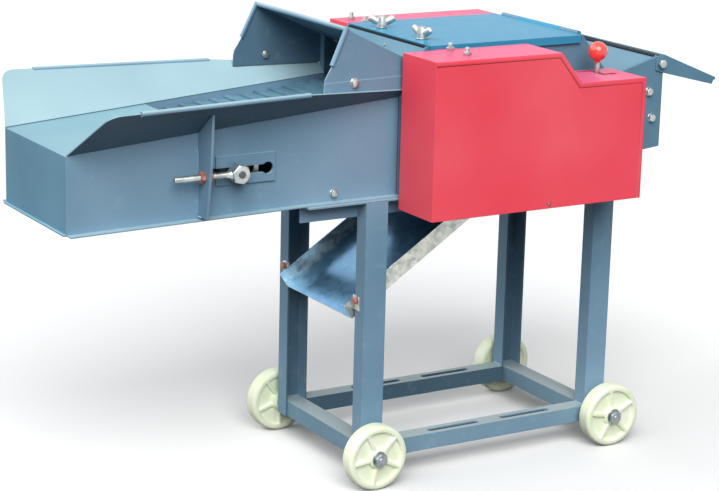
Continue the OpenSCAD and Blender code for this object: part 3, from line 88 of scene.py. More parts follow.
# %% Camera at the feed end
AZIMUTH, ELEVATION, ROLL = (math.radians(a) for a in (-31.083, 14.539, 1.459))
FOCAL_PX, IMAGE_W, SENSOR_MM = 2169.1, 719, 36.0
TARGET, DISTANCE = (0.2, -0.3, 359.7), 3.5838  # drawing millimetres, metres
back = np.array([math.sin(AZIMUTH) * math.cos(ELEVATION),
                 -math.cos(AZIMUTH) * math.cos(ELEVATION), math.sin(ELEVATION)])
level = np.array([math.cos(AZIMUTH), math.sin(AZIMUTH), 0.0])
upright = np.cross(back, level)
right = math.cos(ROLL) * level + math.sin(ROLL) * upright
above = math.cos(ROLL) * upright - math.sin(ROLL) * level
eye = place(TARGET) + back * DISTANCE
lens = bpy.data.cameras.new("feed_end_camera")
lens.sensor_width = SENSOR_MM
lens.lens = FOCAL_PX / IMAGE_W * SENSOR_MM
lens.clip_start, lens.clip_end = 0.1, 60.0
camera = bpy.data.objects.new("feed_end_camera", lens)
stance = np.stack([right, above, back, eye], 1)
camera.matrix_world = Matrix(np.vstack([stance, [0, 0, 0, 1]]).tolist())
bpy.context.scene.collection.objects.link(camera)
bpy.context.scene.camera = camera
print("lens", round(lens.lens, 2), "mm, camera at", eye.round(3))

# %% [markdown]
# ## Colours and nodes
#
# Every finish is a small graph of shader nodes. Colours are written as sRGB hex values, as
# a paint chart would give them, and one function makes them linear for the renderer. A
# second one adds a node, sets its properties and colour stops, and links or fills its
# inputs, so each graph below reads from top to bottom.

# %% Helpers for finishes


def linear(hex_colour):
    """sRGB hex to linear RGBA: the standard curve, a power of 2.4 above the dark toe."""
    c = np.array([int(hex_colour[i:i + 2], 16) for i in (1, 3, 5)]) / 255.0
    c = np.where(c <= 0.04045, c / 12.92, ((c + 0.055) / 1.055) ** 2.4)
    return (*c.tolist(), 1.0)


def add(tree, kind, inputs=None, stops=(), **settings):
    """Add one node, set its properties and colour stops, and link or fill its inputs."""
    made = tree.nodes.new(kind)
    for name, value in settings.items():
        setattr(made, name, value)
    for i, (position, colour) in enumerate(stops):
        points = made.color_ramp.elements
        point = points[i] if i < len(points) else points.new(position)
        point.position, point.color = position, linear(colour)
    for name, value in (inputs or {}).items():
        if isinstance(value, bpy.types.NodeSocket):
            tree.links.new(value, made.inputs[name])
        else:
            made.inputs[name].default_value = value
    return made


def begin(name):
    """A new material with its tree, its object coordinates and its main shader."""
    material = bpy.data.materials.new(name)
    material.use_nodes = True
    tree = material.node_tree
    tree.nodes.clear()
    where = add(tree, "ShaderNodeTexCoord").outputs["Object"]
    shader = add(tree, "ShaderNodeBsdfPrincipled")
    add(tree, "ShaderNodeOutputMaterial", {"Surface": shader.outputs["BSDF"]})
    return material, tree, where, shader


MM = 1000.0  # a pattern of one millimetre has this many repeats in a metre
print("helpers ready")

# %% [markdown]
# ## Paint on sheet steel
#
# The frame, the trough and the casing are powder-coated: a satin film with a faint orange
# peel about 2.5 mm across, over sheet that is never quite flat. Faces that look down or to
# the middle get a dark colour: this is painted shade, for the shade that falls under and
# inside the sheet, and the trough's inner faces are left without it. Top faces get a pale
# layer that is partly dust and partly a painted sheen of sky light, handling leaves pale
# scuffs, and the folds are lighter, partly from wear and partly as a painted highlight. A
# Bevel node finds the edges: it gives a normal that is rounded over 1.2 mm, and where that
# leaves the true normal, there is an edge. The same rounded normal feeds the shading, so
# that each fold catches a thin line of light as bent sheet does. Casing and feed table come
# from another batch of paint, deeper than the rest; on the casing the deeper tone is partly
# painted shade. The casing has little of the pale top layer, the table much, and the base
# rails are grey with dirt from the yard. Guards and cover have gloss enamel, red and blue:
# smoother, cleaner and fuller in colour, and the red guard's pale top layer is a painted
# purple sheen. All are one function with other values, as the layers are the same and only
# their strength differs.

# %% Painted finishes


def painted(name, tones, wear_and_highlight_colour, dust_and_sheen, dust_and_sheen_share, painted_shade_colour, underside_shade, within, scuffing, rough, shine, peel):
    """Paint film: slow fade through the tones, dust and a painted sheen on top faces, painted shade
    on faces that look down or to the middle, scuffs, folds lighter from wear and a painted
    highlight, orange peel."""
    material, tree, where, shader = begin(name)
    slow = add(tree, "ShaderNodeTexNoise", {"Vector": where, "Scale": MM / 260, "Detail": 2.0})
    fade = add(tree, "ShaderNodeValToRGB", {"Fac": slow.outputs["Fac"]},
               stops=list(zip((0.32, 0.5, 0.68), tones)))
    marks = add(tree, "ShaderNodeTexNoise", {"Vector": where, "Scale": MM / 24, "Detail": 6.0,
                                             "Roughness": 0.62})
    true = add(tree, "ShaderNodeNewGeometry").outputs["Normal"]
    facing = add(tree, "ShaderNodeSeparateXYZ", {"Vector": true})
    # Pale layer on top faces: partly dust, partly a painted sheen of sky light on faces that look up.
    upward = add(tree, "ShaderNodeMapRange", {"Value": facing.outputs["Z"], "From Min": 0.25,
                                              "From Max": 0.75, "To Max": dust_and_sheen_share})
    broken_up = add(tree, "ShaderNodeMapRange", {"Value": slow.outputs["Fac"], "From Min": 0.3,
                                               "From Max": 0.7, "To Min": 0.75})
    patchy = add(tree, "ShaderNodeMath", {0: upward.outputs["Result"], 1: broken_up.outputs["Result"]},
                 operation="MULTIPLY")
    dusted_and_lit = add(tree, "ShaderNodeMix", {"Factor": patchy.outputs["Value"], "A": fade.outputs["Color"],
                                        "B": linear(dust_and_sheen)}, data_type="RGBA")
    spot = add(tree, "ShaderNodeSeparateXYZ", {"Vector": where})
    # Painted shade: a dark colour on faces that look to the middle or down, standing for the shade under
    # and inside the sheet.
    side = add(tree, "ShaderNodeMath", {0: spot.outputs["Y"]}, operation="SIGN")
    outward = add(tree, "ShaderNodeMath", {0: side.outputs["Value"], 1: facing.outputs["Y"]},
                  operation="MULTIPLY")
    inner = add(tree, "ShaderNodeMapRange", {"Value": outward.outputs["Value"], "From Min": -0.7,
                                             "From Max": -0.9, "To Max": within})
    under = add(tree, "ShaderNodeMapRange", {"Value": facing.outputs["Z"], "From Min": -0.3,
                                             "From Max": -0.7, "To Max": underside_shade})
    painted_shade_mask = add(tree, "ShaderNodeMath", {0: inner.outputs["Result"], 1: under.outputs["Result"]},
               operation="MAXIMUM")
    coat = add(tree, "ShaderNodeMix", {"Factor": painted_shade_mask.outputs["Value"], "A": dusted_and_lit.outputs["Result"],
                                       "B": linear(painted_shade_colour)}, data_type="RGBA")
    # Lighter folds: partly wear, partly a painted highlight along every edge the Bevel node finds.
    soft = add(tree, "ShaderNodeBevel", {"Radius": 1.2 / MM}, samples=6).outputs["Normal"]
    along = add(tree, "ShaderNodeVectorMath", {0: true, 1: soft}, operation="DOT_PRODUCT")
    edge_score = add(tree, "ShaderNodeMath", {0: marks.outputs["Fac"], 1: along.outputs["Value"]},
                 operation="SUBTRACT")
    wear_and_highlight = add(tree, "ShaderNodeMapRange", {"Value": edge_score.outputs["Value"], "From Min": -0.24,
                                            "From Max": -0.06, "To Max": 0.6})
    scuffs = add(tree, "ShaderNodeMapRange", {"Value": marks.outputs["Fac"], "From Min": 0.56,
                                              "From Max": 0.74, "To Max": scuffing})
    pale = add(tree, "ShaderNodeMath", {0: wear_and_highlight.outputs["Result"], 1: scuffs.outputs["Result"]},
               operation="MAXIMUM")
    colour = add(tree, "ShaderNodeMix", {"Factor": pale.outputs["Value"], "A": coat.outputs["Result"],
                                         "B": linear(wear_and_highlight_colour)}, data_type="RGBA")
    tree.links.new(colour.outputs["Result"], shader.inputs["Base Color"])
    gloss = add(tree, "ShaderNodeMapRange", {"Value": marks.outputs["Fac"], "From Min": 0.25,
                                             "From Max": 0.75, "To Min": rough - 0.04,
                                             "To Max": rough + 0.05})
    tree.links.new(gloss.outputs["Result"], shader.inputs["Roughness"])
    sheet = add(tree, "ShaderNodeTexNoise", {"Vector": where, "Scale": MM / 150, "Detail": 1.0})
    waves = add(tree, "ShaderNodeBump", {"Height": sheet.outputs["Fac"], "Strength": 0.5,
                                         "Distance": 1.5 / MM, "Normal": soft})
    pores = add(tree, "ShaderNodeTexNoise", {"Vector": where, "Scale": MM / 2.5, "Detail": 2.0})
    bump = add(tree, "ShaderNodeBump", {"Height": pores.outputs["Fac"], "Strength": peel,
                                        "Distance": 0.1 / MM, "Normal": waves.outputs["Normal"]})
    tree.links.new(bump.outputs["Normal"], shader.inputs["Normal"])
    shader.inputs["IOR"].default_value = 1.5
    shader.inputs["Specular IOR Level"].default_value = shine
    return material


GREY_BLUE = dict(tones=("#6C8FA6", "#7899B0", "#84A3B9"), wear_and_highlight_colour="#B4CDD6", dust_and_sheen="#C0DDDA", dust_and_sheen_share=0.56,
                 painted_shade_colour="#2A4252", underside_shade=0.62, scuffing=0.1, rough=0.42, shine=0.12, peel=0.2)
DEEP_BLUE_GREY = dict(wear_and_highlight_colour="#9DBFCC", painted_shade_colour="#263F4F", underside_shade=0.55, within=0.55, scuffing=0.1,
                      rough=0.4, shine=0.06, peel=0.2)
FRAME_PAINT = painted("powder_coat_grey_blue_sprayed", within=0.62, **GREY_BLUE)
# The trough has no painted shade on its inner faces.
TROUGH_PAINT = painted("powder_coat_grey_blue_no_inner_shade", within=0.0, **GREY_BLUE)
RAIL_PAINT = painted("powder_coat_grey_blue_grimy", ("#6A8A9D", "#7494A8", "#7E9DB0"), wear_and_highlight_colour="#B4CDD6",
                     dust_and_sheen="#B6BFB8", dust_and_sheen_share=0.62, painted_shade_colour="#2A4252", underside_shade=0.62, within=0.62,
                     scuffing=0.16, rough=0.46, shine=0.1, peel=0.2)
# The casing's deeper tones are partly painted shade.
CASING_PAINT = painted("powder_coat_deep_blue_grey_sprayed", ("#567D93", "#60869C", "#6A90A6"),
                       dust_and_sheen="#A5D0D8", dust_and_sheen_share=0.14, **DEEP_BLUE_GREY)
TABLE_PAINT = painted("powder_coat_deep_blue_grey_dusty", ("#527E96", "#5B879F", "#6590A8"),
                      dust_and_sheen="#B5DCDF", dust_and_sheen_share=0.48, **DEEP_BLUE_GREY)
# On the red guard the pale top layer is a painted purple sheen.
GUARD_PAINT = painted("enamel_red_sprayed_gloss", ("#F44B5C", "#F85967", "#FB6772"), wear_and_highlight_colour="#FA9AA2",
                      dust_and_sheen="#C86BAE", dust_and_sheen_share=0.48, painted_shade_colour="#3E1820", underside_shade=0.8, within=0.8,
                      scuffing=0.03, rough=0.32, shine=0.1, peel=0.12)
COVER_PAINT = painted("enamel_blue_sprayed_gloss", ("#368BB0", "#3A8FB4", "#4194B8"), wear_and_highlight_colour="#7DB7D2",
                      dust_and_sheen="#79B9D4", dust_and_sheen_share=0.15, painted_shade_colour="#1D4258", underside_shade=0.6, within=0.6,
                      scuffing=0.05, rough=0.32, shine=0.06, peel=0.12)
PAINTS = (FRAME_PAINT, TROUGH_PAINT, RAIL_PAINT, CASING_PAINT, TABLE_PAINT, GUARD_PAINT, COVER_PAINT)
print("paints:", *(paint.name for paint in PAINTS))

# %% [markdown]
# ## Bare metals
#
# Zinc plate is bright and a little cloudy. Galvanised sheet shows spangles, crystals of 8
# to 15 mm that differ a little in tone and in gloss, and a blue reflection is painted on its
# top faces.
# Turned steel is greyer, with faint rings, and the oiled axle is darker still. Ground knives
# carry fine parallel lines, castings are dark and grainy, and the tension nuts have rusted.
# All are the metallic shader with a tone and a roughness that follow the same pattern. A
# mask of Voronoi cells, mixed with noise, stands for the crystals, and plain noise for the
# rest. Tool marks and grain are far below a millimetre on the real metal. Here they are
# drawn 0.8 to 3 mm wide, as finer ones would not show.

# %% Metal finishes


def bare_metal(name, tones, cloud_mm, rough, spread, grain_mm, depth, stretch=(1, 1, 1), metal=1.0,
               crystals=0.0, painted_reflection="#FFFFFF", painted_reflection_share=0.0):
    """Metal: tone and roughness follow clouds, part crystal cells; a painted reflection tints top
    faces; bump follows a finer grain."""
    material, tree, where, shader = begin(name)
    lie = add(tree, "ShaderNodeMapping", {"Vector": where, "Scale": stretch}).outputs["Vector"]
    cloud = add(tree, "ShaderNodeTexNoise", {"Vector": lie, "Scale": MM / cloud_mm, "Detail": 5.0})
    cells = add(tree, "ShaderNodeTexVoronoi", {"Vector": lie, "Scale": MM / cloud_mm,
                                               "Randomness": 1.0})
    cell = add(tree, "ShaderNodeSeparateColor", {"Color": cells.outputs["Color"]})
    tone = add(tree, "ShaderNodeMix", {"Factor": crystals, "A": cloud.outputs["Fac"],
                                       "B": cell.outputs["Red"]})
    level = tone.outputs["Result"]
    shades = add(tree, "ShaderNodeValToRGB", {"Fac": level},
                 stops=[(0.28 + 0.44 * i / (len(tones) - 1), t) for i, t in enumerate(tones)])
    true = add(tree, "ShaderNodeNewGeometry").outputs["Normal"]
    facing = add(tree, "ShaderNodeSeparateXYZ", {"Vector": true})
    # Painted reflection: top faces take on a tint that stands for reflected surroundings.
    upward = add(tree, "ShaderNodeMapRange", {"Value": facing.outputs["Z"], "From Min": 0.5,
                                              "From Max": 0.7, "To Max": painted_reflection_share})
    colour = add(tree, "ShaderNodeMix", {"Factor": upward.outputs["Result"], "A": shades.outputs["Color"],
                                         "B": linear(painted_reflection)}, data_type="RGBA")
    tree.links.new(colour.outputs["Result"], shader.inputs["Base Color"])
    gloss = add(tree, "ShaderNodeMapRange", {"Value": level, "To Min": rough - spread,
                                             "To Max": rough + spread})
    tree.links.new(gloss.outputs["Result"], shader.inputs["Roughness"])
    soft = add(tree, "ShaderNodeBevel", {"Radius": 0.6 / MM}, samples=4).outputs["Normal"]
    grain = add(tree, "ShaderNodeTexNoise", {"Vector": lie, "Scale": MM / grain_mm, "Detail": 5.0})
    bump = add(tree, "ShaderNodeBump", {"Height": grain.outputs["Fac"], "Strength": 0.5,
                                        "Distance": depth / MM, "Normal": soft})
    tree.links.new(bump.outputs["Normal"], shader.inputs["Normal"])
    shader.inputs["Metallic"].default_value = metal
    return material


ZINC = bare_metal("steel_zinc_plated", ("#A3A9AA", "#BCC1BF", "#D0D4CF"), cloud_mm=12, rough=0.36,
                  spread=0.10, grain_mm=1.5, depth=0.05, metal=0.9)
# Galvanised top faces carry a painted blue reflection.
GALVANISED = bare_metal("steel_sheet_hot_dip_galvanised", ("#A2A9A8", "#C9CCC3", "#E6E5DA"), cloud_mm=9,
                        rough=0.20, spread=0.08, grain_mm=3.0, depth=0.05, metal=0.7, crystals=0.3,
                        painted_reflection="#58AAE2", painted_reflection_share=0.8)
STEEL = bare_metal("steel_turned", ("#7E868B", "#989FA3", "#ABB1B4"), cloud_mm=14, rough=0.38,
                   spread=0.08, grain_mm=0.8, depth=0.04, stretch=(1, 0.15, 1))
KNIFE_STEEL = bare_metal("tool_steel_ground", ("#A9AEB2", "#C6CACD", "#D6D9DB"), cloud_mm=10, rough=0.28,
                         spread=0.06, grain_mm=0.9, depth=0.04, stretch=(1, 0.08, 1))
CAST_IRON = bare_metal("cast_iron_as_cast", ("#26282B", "#34373B", "#44474A"), cloud_mm=20, rough=0.58,
                       spread=0.08, grain_mm=1.8, depth=0.20, metal=0.7)
OILED = bare_metal("steel_axle_oiled_dark", ("#565C60", "#686E72", "#7A8084"), cloud_mm=16, rough=0.42,
                   spread=0.08, grain_mm=0.9, depth=0.04, metal=0.9)
RUSTY = bare_metal("steel_nut_rusted", ("#7A4437", "#A8695F", "#C08A78", "#9A9791"), cloud_mm=5, rough=0.66,
                   spread=0.12, grain_mm=0.9, depth=0.20, metal=0.35)
METALS = (ZINC, GALVANISED, STEEL, KNIFE_STEEL, CAST_IRON, OILED, RUSTY)
print("metals:", *(metal.name for metal in METALS))

# %% [markdown]
# ## Rubber and plastics
#
# The belt is cloth-backed rubber, slate blue and dusty with chaff. The seals are plain
# black rubber. The wheels are moulded nylon, cream with a slight glow where light enters,
# and the lever ball is glossy phenolic. Each is the plain shader with a mottled tone and a
# moulding grain, drawn at 1.2 mm or more so that it shows.

# %% Rubber and plastic finishes


def moulded(name, tones, cloud_mm, rough, grain_mm, depth, glow=0.0, coat=0.0, shine=0.5):
    """Moulded surface: mottled tone, fine moulding grain, light scattered below the skin."""
    material, tree, where, shader = begin(name)
    mottle = add(tree, "ShaderNodeTexNoise", {"Vector": where, "Scale": MM / cloud_mm, "Detail": 6.0,
                                              "Roughness": 0.55})
    shades = add(tree, "ShaderNodeValToRGB", {"Fac": mottle.outputs["Fac"]},
                 stops=[(0.28 + 0.46 * i / (len(tones) - 1), t) for i, t in enumerate(tones)])
    tree.links.new(shades.outputs["Color"], shader.inputs["Base Color"])
    gloss = add(tree, "ShaderNodeMapRange", {"Value": mottle.outputs["Fac"], "To Min": rough - 0.08,
                                             "To Max": rough + 0.10})
    tree.links.new(gloss.outputs["Result"], shader.inputs["Roughness"])
    grain = add(tree, "ShaderNodeTexNoise", {"Vector": where, "Scale": MM / grain_mm, "Detail": 4.0})
    bump = add(tree, "ShaderNodeBump", {"Height": grain.outputs["Fac"], "Strength": 0.4,
                                        "Distance": depth / MM})
    tree.links.new(bump.outputs["Normal"], shader.inputs["Normal"])
    shader.inputs["IOR"].default_value = 1.5
    shader.inputs["Specular IOR Level"].default_value = shine
    shader.inputs["Subsurface Weight"].default_value = glow
    shader.inputs["Subsurface Radius"].default_value = (0.004, 0.003, 0.002)
    shader.inputs["Coat Weight"].default_value = coat
    return material


BELTING = moulded("rubber_belting_calendered", ("#4C6F82", "#5A8295", "#6A97A9"), cloud_mm=60, rough=0.68,
                  grain_mm=1.2, depth=0.25)
SEAL = moulded("rubber_seal_extruded", ("#0F1012", "#16181A", "#1E2022"), cloud_mm=30, rough=0.66,
               grain_mm=1.5, depth=0.15, shine=0.2)
NYLON = moulded("nylon_wheel_moulded", ("#E4EFC9", "#EFF7DA", "#F7FBEC"), cloud_mm=34, rough=0.40,
                grain_mm=1.6, depth=0.08, glow=0.12)
BALL = moulded("phenolic_ball_moulded_gloss", ("#E63E33", "#EE453A", "#F25347"), cloud_mm=25, rough=0.16,
               grain_mm=6.0, depth=0.02, coat=0.6)
print("rubber and plastics:", BELTING.name, SEAL.name, NYLON.name, BALL.name)

# %% [markdown]
# ## Finishes on the solids
#
# The record of the model gives every solid a slot, such as paint or zinc, so one table from
# slot to finish dresses them all. A few solids differ from the rest of their slot: the seals
# are blacker than the belt, the tail axle is oiled, and trough, base rails, casing and feed
# table have their own paint. The trough has no painted shade on its inner faces, and the
# casing's deeper tone is partly painted shade.

# %% Give each solid its finish
BY_SLOT = {
    "frame_paint": FRAME_PAINT, "guard_red": GUARD_PAINT, "cover_blue": COVER_PAINT,
    "galvanised": GALVANISED, "zinc": ZINC, "steel": STEEL, "knife_steel": KNIFE_STEEL, "cast": CAST_IRON,
    "rusty_steel": RUSTY, "belt_rubber": BELTING, "wheel_nylon": NYLON, "ball_plastic": BALL,
}
OWN_FINISH = (
    (SEAL, ["rubber_seals"]), (OILED, ["tail_axle"]), (TABLE_PAINT, ["feed_table"]),
    (TROUGH_PAINT, ["trough_side_near", "trough_side_far"]),
    (RAIL_PAINT, ["base_rail_near", "base_rail_far", "base_cross_feed", "base_cross_discharge"]),
    (CASING_PAINT, ["casing_side_near", "casing_side_far", "casing_cheek_near", "casing_cheek_far",
                    "casing_front", "casing_back", "deflector_flap"]),
)
BY_NODE = {node: finish for finish, nodes in OWN_FINISH for node in nodes}
for part in frame["record"]["subparts"]:
    mesh = NODES[part["node"]].data
    mesh.materials.clear()
    mesh.materials.append(BY_NODE.get(part["node"], BY_SLOT[part["material_slot"]]))
print("finishes by slot:", len(BY_SLOT), "- solids with their own:", len(BY_NODE))

# %% [markdown]
# ## Shapes as arrays
#
# Each new piece is a grid of points worked out as whole arrays: rows along the shape and
# columns round it. Modelling by hand or with modifiers would do too, but a formula keeps
# the sizes exact and the piece closed. The rows and columns are joined into quads, points
# that fall together at a pole become one, and a shape that comes out inside out is turned.

# %% From grids to pieces
SHARP = math.radians(32)  # a fold steeper than this stays a crease


def grid_faces(rows, columns, ring=False):
    """Quads of a grid: each point with the next in its row and the two above. Columns close
    into a loop, and rows too where the surface is a ring."""
    i, j = np.meshgrid(np.arange(rows if ring else rows - 1), np.arange(columns), indexing="ij")
    low, high, beside = i * columns, (i + 1) % rows * columns, (j + 1) % columns
    return np.stack([low + j, low + beside, high + beside, high + j], -1).reshape(-1, 4)


def piece(name, shapes, finish, body):
    """One object from closed shapes, each (points in drawing millimetres, quads). Equal points
    are joined, and the sum of corner a dot (b cross c), the volume, says which way faces point."""
    corners, faces, count = [], [], 0
    for points, quads in shapes:
        points, index = np.unique(place(points).round(7), axis=0, return_inverse=True)
        quads = index.reshape(-1)[quads]
        a, b, c, d = (points[quads[:, k]] for k in range(4))
        volume = (a * (np.cross(b, c) + np.cross(c, d))).sum()
        quads = (quads if volume > 0 else quads[:, ::-1]) + count
        corners.append(points)
        faces += [face for face in map(list, map(dict.fromkeys, quads.tolist())) if len(face) > 2]
        count += len(points)
    mesh = bpy.data.meshes.new(name)
    mesh.from_pydata(np.concatenate(corners).tolist(), [], faces)
    mesh.materials.append(finish)
    mesh.shade_smooth()
    mesh.set_sharp_from_angle(angle=SHARP)
    made = bpy.data.objects.new(name, mesh)
    bpy.context.scene.collection.objects.link(made)
    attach(made, body)
    print(name, "-", len(faces), "faces on", body)
    return made


# %% Lathe shapes and where they stand
TAU = 2 * np.pi


def angles(count):
    """Equal steps round a whole turn."""
    return np.linspace(0, TAU, count, endpoint=False)


def turned(radii, heights, sides=40, ring=False):
    """Lathe shape about Z: the radius at each height, carried round a whole turn. Both may also
    change with the angle, as two-dimensional arrays."""
    r, z = np.asarray(radii, float), np.asarray(heights, float)
    r, z = (v if v.ndim == 2 else v[:, None] for v in (r, z))
    turn = angles(sides)
    points = np.stack(np.broadcast_arrays(r * np.cos(turn), r * np.sin(turn), z), -1)
    return points.reshape(-1, 3), grid_faces(len(points), sides, ring)


def stand(shape, at, along, spin=0.0):
    """Carry a shape drawn about Z to a place: a spin about Z in degrees, then Z turned to along."""
    w = np.asarray(along, float) / np.linalg.norm(along)
    u = np.cross((0.0, 1.0, 0.0) if abs(w[1]) < 0.9 else (0.0, 0.0, 1.0), w)
    u /= np.linalg.norm(u)
    v = np.cross(w, u)
    c, s = math.cos(math.radians(spin)), math.sin(math.radians(spin))
    return shape[0] @ np.stack([c * u + s * v, c * v - s * u, w]) + np.asarray(at, float), shape[1]


print("shape functions ready")

# %% [markdown]
# ## Bolts, nuts and washers
#
# A pressed bolt head is a hexagon whose corners are cut by a cone, which leaves the curved
# edges that make it read as a bolt. The section at each height is simply the smaller of a
# polygon and a circle, and the circle shrinks toward the end faces. A thread is a rod whose
# radius is a wave that moves on by one pitch in each turn.

# %% Fastener shapes
FACE_SHARE, CONE_SLOPE = 0.93, 0.6  # end face of a head as a share of its width, and fall of its cone


def faceted(across, height, bore=0.0, flats=6, sides=48):
    """Head or nut about Z: the smaller of a polygon, half its width over the cosine of the angle to
    the nearest flat, and a circle that shrinks toward both faces."""
    share = TAU / flats
    polygon = across / 2 / np.cos((angles(sides) + share / 2) % share - share / 2)
    corner, face = across / 2 / math.cos(share / 2), across / 2 * FACE_SHARE
    step = np.linspace(0, 1, 5)
    cone = face + (corner - face) * step
    depth = step * (corner - face) * CONE_SLOPE
    radii = np.minimum(polygon, np.concatenate([cone, cone[::-1]])[:, None])
    ends = np.full((1, sides), bore)
    heights = np.concatenate([[0], depth, height - depth[::-1], [height]])
    return turned(np.vstack([ends, radii, ends]), heights, sides, ring=bore > 0)


def thread(radius, pitch, length, sides=20):
    """Screw thread about Z: the radius falls by up to 0.6 of a pitch in a triangle wave of the
    height, moved on by one pitch a turn; both ends taper."""
    z = np.linspace(0, length, int(5 * length / pitch) + 2)
    wave = np.abs((z[:, None] / pitch - angles(sides) / TAU) % 1 * 2 - 1)
    taper = np.clip(np.minimum(z, length - z) / pitch, 0, 1)[:, None]
    radii = radius - 0.6 * pitch * (1 - taper * (1 - wave))
    ends = np.zeros((1, sides))
    return turned(np.vstack([ends, radii, ends]), np.concatenate([[0], z, [length]]), sides)


def washer(radius, bore, height):
    """Pressed washer about Z: a flat ring whose rim is rounded over on both faces."""
    soft = min(0.5, height / 3)
    return turned([bore, bore, radius - soft, radius, radius, radius - soft],
                  [0, height, height, height - soft, soft, 0], ring=True)


SHANK_R, PITCH, NUT_BORE, WASHER_BORE = 3.95, 1.25, 3.9, 4.2  # an 8 mm screw


def bolt(at, out, grip=4.0, spin=0.0, across=11.5, rim=7.2, seat=1.6, head=5.0, nut=5.5, stud=0.0):
    """Bolt at a face, pointing out of it: washer, head, shank through the grip, nut behind. With a
    stud the head is a nut too, and the shank stands out of it by that much."""
    at, out = np.asarray(at, float), np.asarray(out, float)
    parts = [stand(faceted(across, head, bore=NUT_BORE if stud else 0.0), at + seat * out, out, spin),
             stand(faceted(across, nut, bore=NUT_BORE), at - (grip + nut) * out, out, spin + 17)]
    if seat:
        parts.append(stand(washer(rim, WASHER_BORE, seat), at, out))
    behind = grip + nut + 1.5
    shank = behind + (seat + head + stud if stud else 0.5)
    parts.append(stand(thread(SHANK_R, PITCH, shank), at - behind * out, out))
    return parts


print("fastener shapes ready")

# %% [markdown]
# ## Where the bolts sit
#
# The casing plates, the trough, the hood, the flap pivots and the guards are bolted with
# 8 mm zinc-plated bolts, and a small pin stands on the casing front. Heads are never lined
# up by hand, so each is spun a little differently. The hood sides lean in toward the casing,
# so their bolts lean too. The two bolts of the chute and a screw in the guard have rusted.

# %% Zinc-plated bolts
TO_FEED, UP, ALONG = (-1.0, 0.0, 0.0), (0.0, 0.0, 1.0), (1.0, 0.0, 0.0)
SIDE_BOLTS = (  # place on the pulley side, mirrored to the gear side; two in the casing, trough, flap
    ((488.0, 123.0, 603.5), dict(grip=4.0, spin=12)),
    ((496.0, 123.0, 558.0), dict(grip=4.0, spin=41)),
    ((-122.0, 118.5, 486.0), dict(grip=2.0, spin=25, across=11.0, rim=6.8)),
    ((510.0, 127.2, 650.0), dict(grip=8.2, spin=33, across=13.0, seat=0.0, head=6.0)),
)
HOOD_BOLT, HOOD_LEAN, HOOD_SKIN = np.array([-105.08, 144.48, 664.0]), math.atan2(15.0, 137.0), 1.2
CHUTE_EAR, CHUTE_WASHER = np.array([-73.5, 118.0, 305.0]), 1.4
GUARD_STUDS = ((66, -152, 705, 20), (66, -200, 705, 47), (96, 160, 701.5, 5), (96, 205, 701.5, 31))
PIN = ([0, 1.5, 1.5, 1.1, 0], [-1.5, -1.5, 6.2, 7.0, 7.2])
PIN_AT, PIN_LEAN = (30.5, -16.5, 691.5), (-0.5, 0, 0.87)
shapes = [stand(turned(*PIN, sides=20), PIN_AT, PIN_LEAN)]
for side in SIDES:
    mirror = np.array([1, side, 1])
    for at, sizes in SIDE_BOLTS:
        shapes += bolt(at * mirror, (0.0, side, 0.0), **sizes)
    lean = np.array([math.sin(HOOD_LEAN), side * math.cos(HOOD_LEAN), 0.0])
    shapes += bolt(HOOD_BOLT * mirror + HOOD_SKIN * lean, lean, grip=3.2, spin=8, rim=8.0)
    shapes.append(stand(washer(9.0, WASHER_BORE, CHUTE_WASHER), CHUTE_EAR * mirror, TO_FEED))
for x, y, z, spin in GUARD_STUDS:
    shapes += bolt((x, y, z), UP, grip=4.5, spin=spin, across=12.0, seat=0.0, nut=5.0, stud=7.0)
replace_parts(piece("bolts_zinc", shapes, ZINC, "frame"), "zinc_bolts")

# %% Rusted bolts of the chute and the guard screw
GUARD_FRONT = -243.0
GUARD_SCREW = (205.0, GUARD_FRONT, 462.0)
SCREW_HEAD = ([0, 1.0, 1.0, 2.4, 3.0, 3.0, 0], [0.6, 0.6, 1.4, 1.4, 0.8, -4.0, -4.0])
shapes = [stand(turned(*SCREW_HEAD, sides=32), GUARD_SCREW, (0, -1, 0))]
for side in SIDES:
    ear = CHUTE_EAR * (1, side, 1) + np.multiply(TO_FEED, CHUTE_WASHER)
    shapes += bolt(ear, TO_FEED, grip=4.5 + CHUTE_WASHER, spin=14, seat=0.0)
piece("bolts_rusted", shapes, RUSTY, "frame")

# %% [markdown]
# ## Wheels
#
# The wheels are moulded in one piece: a hub, five ribs and a rounded tread, with shallow
# pockets between the ribs on both faces. Cutting the pockets out of a lathe shape would
# leave hard edges, while a real mould has soft ones. So the face is a height over radius
# and angle: it sinks where a point is inside a pocket, and smooth steps away from the hub,
# from the rim and from the nearest rib say how far inside it is.

# %% Wheel shape
WHEEL_R, WHEEL_HALF, WHEEL_Y, BORE_R, HUB_R, RIM_R = 54.0, 14.0, 164.0, 6.1, 15.0, 44.5
RIBS, RIB_W, FIRST_RIB, POCKET, DRAFT, TREAD_ROUND = 5, 4.0, math.radians(54), 5.0, 3.0, 6.0
HUB_OUTER, HUB_INNER = [15, 15, 14.7, 14.2], [-14.2, -19.0, -19.5, -19.5]  # heights of the hub's ends
WHEEL_PLACES = {  # x of the axle, side, and how far the wheel has rolled in degrees
    "near_feed": (-60, -1, -10), "far_feed": (-60, 1, 0),
    "near_discharge": (409, -1, -29), "far_discharge": (409, 1, 17),
}


def smooth_step(t):
    """From 0 to 1 with level ends: three t squared less two t cubed."""
    t = np.clip(t, 0, 1)
    return t * t * (3 - 2 * t)


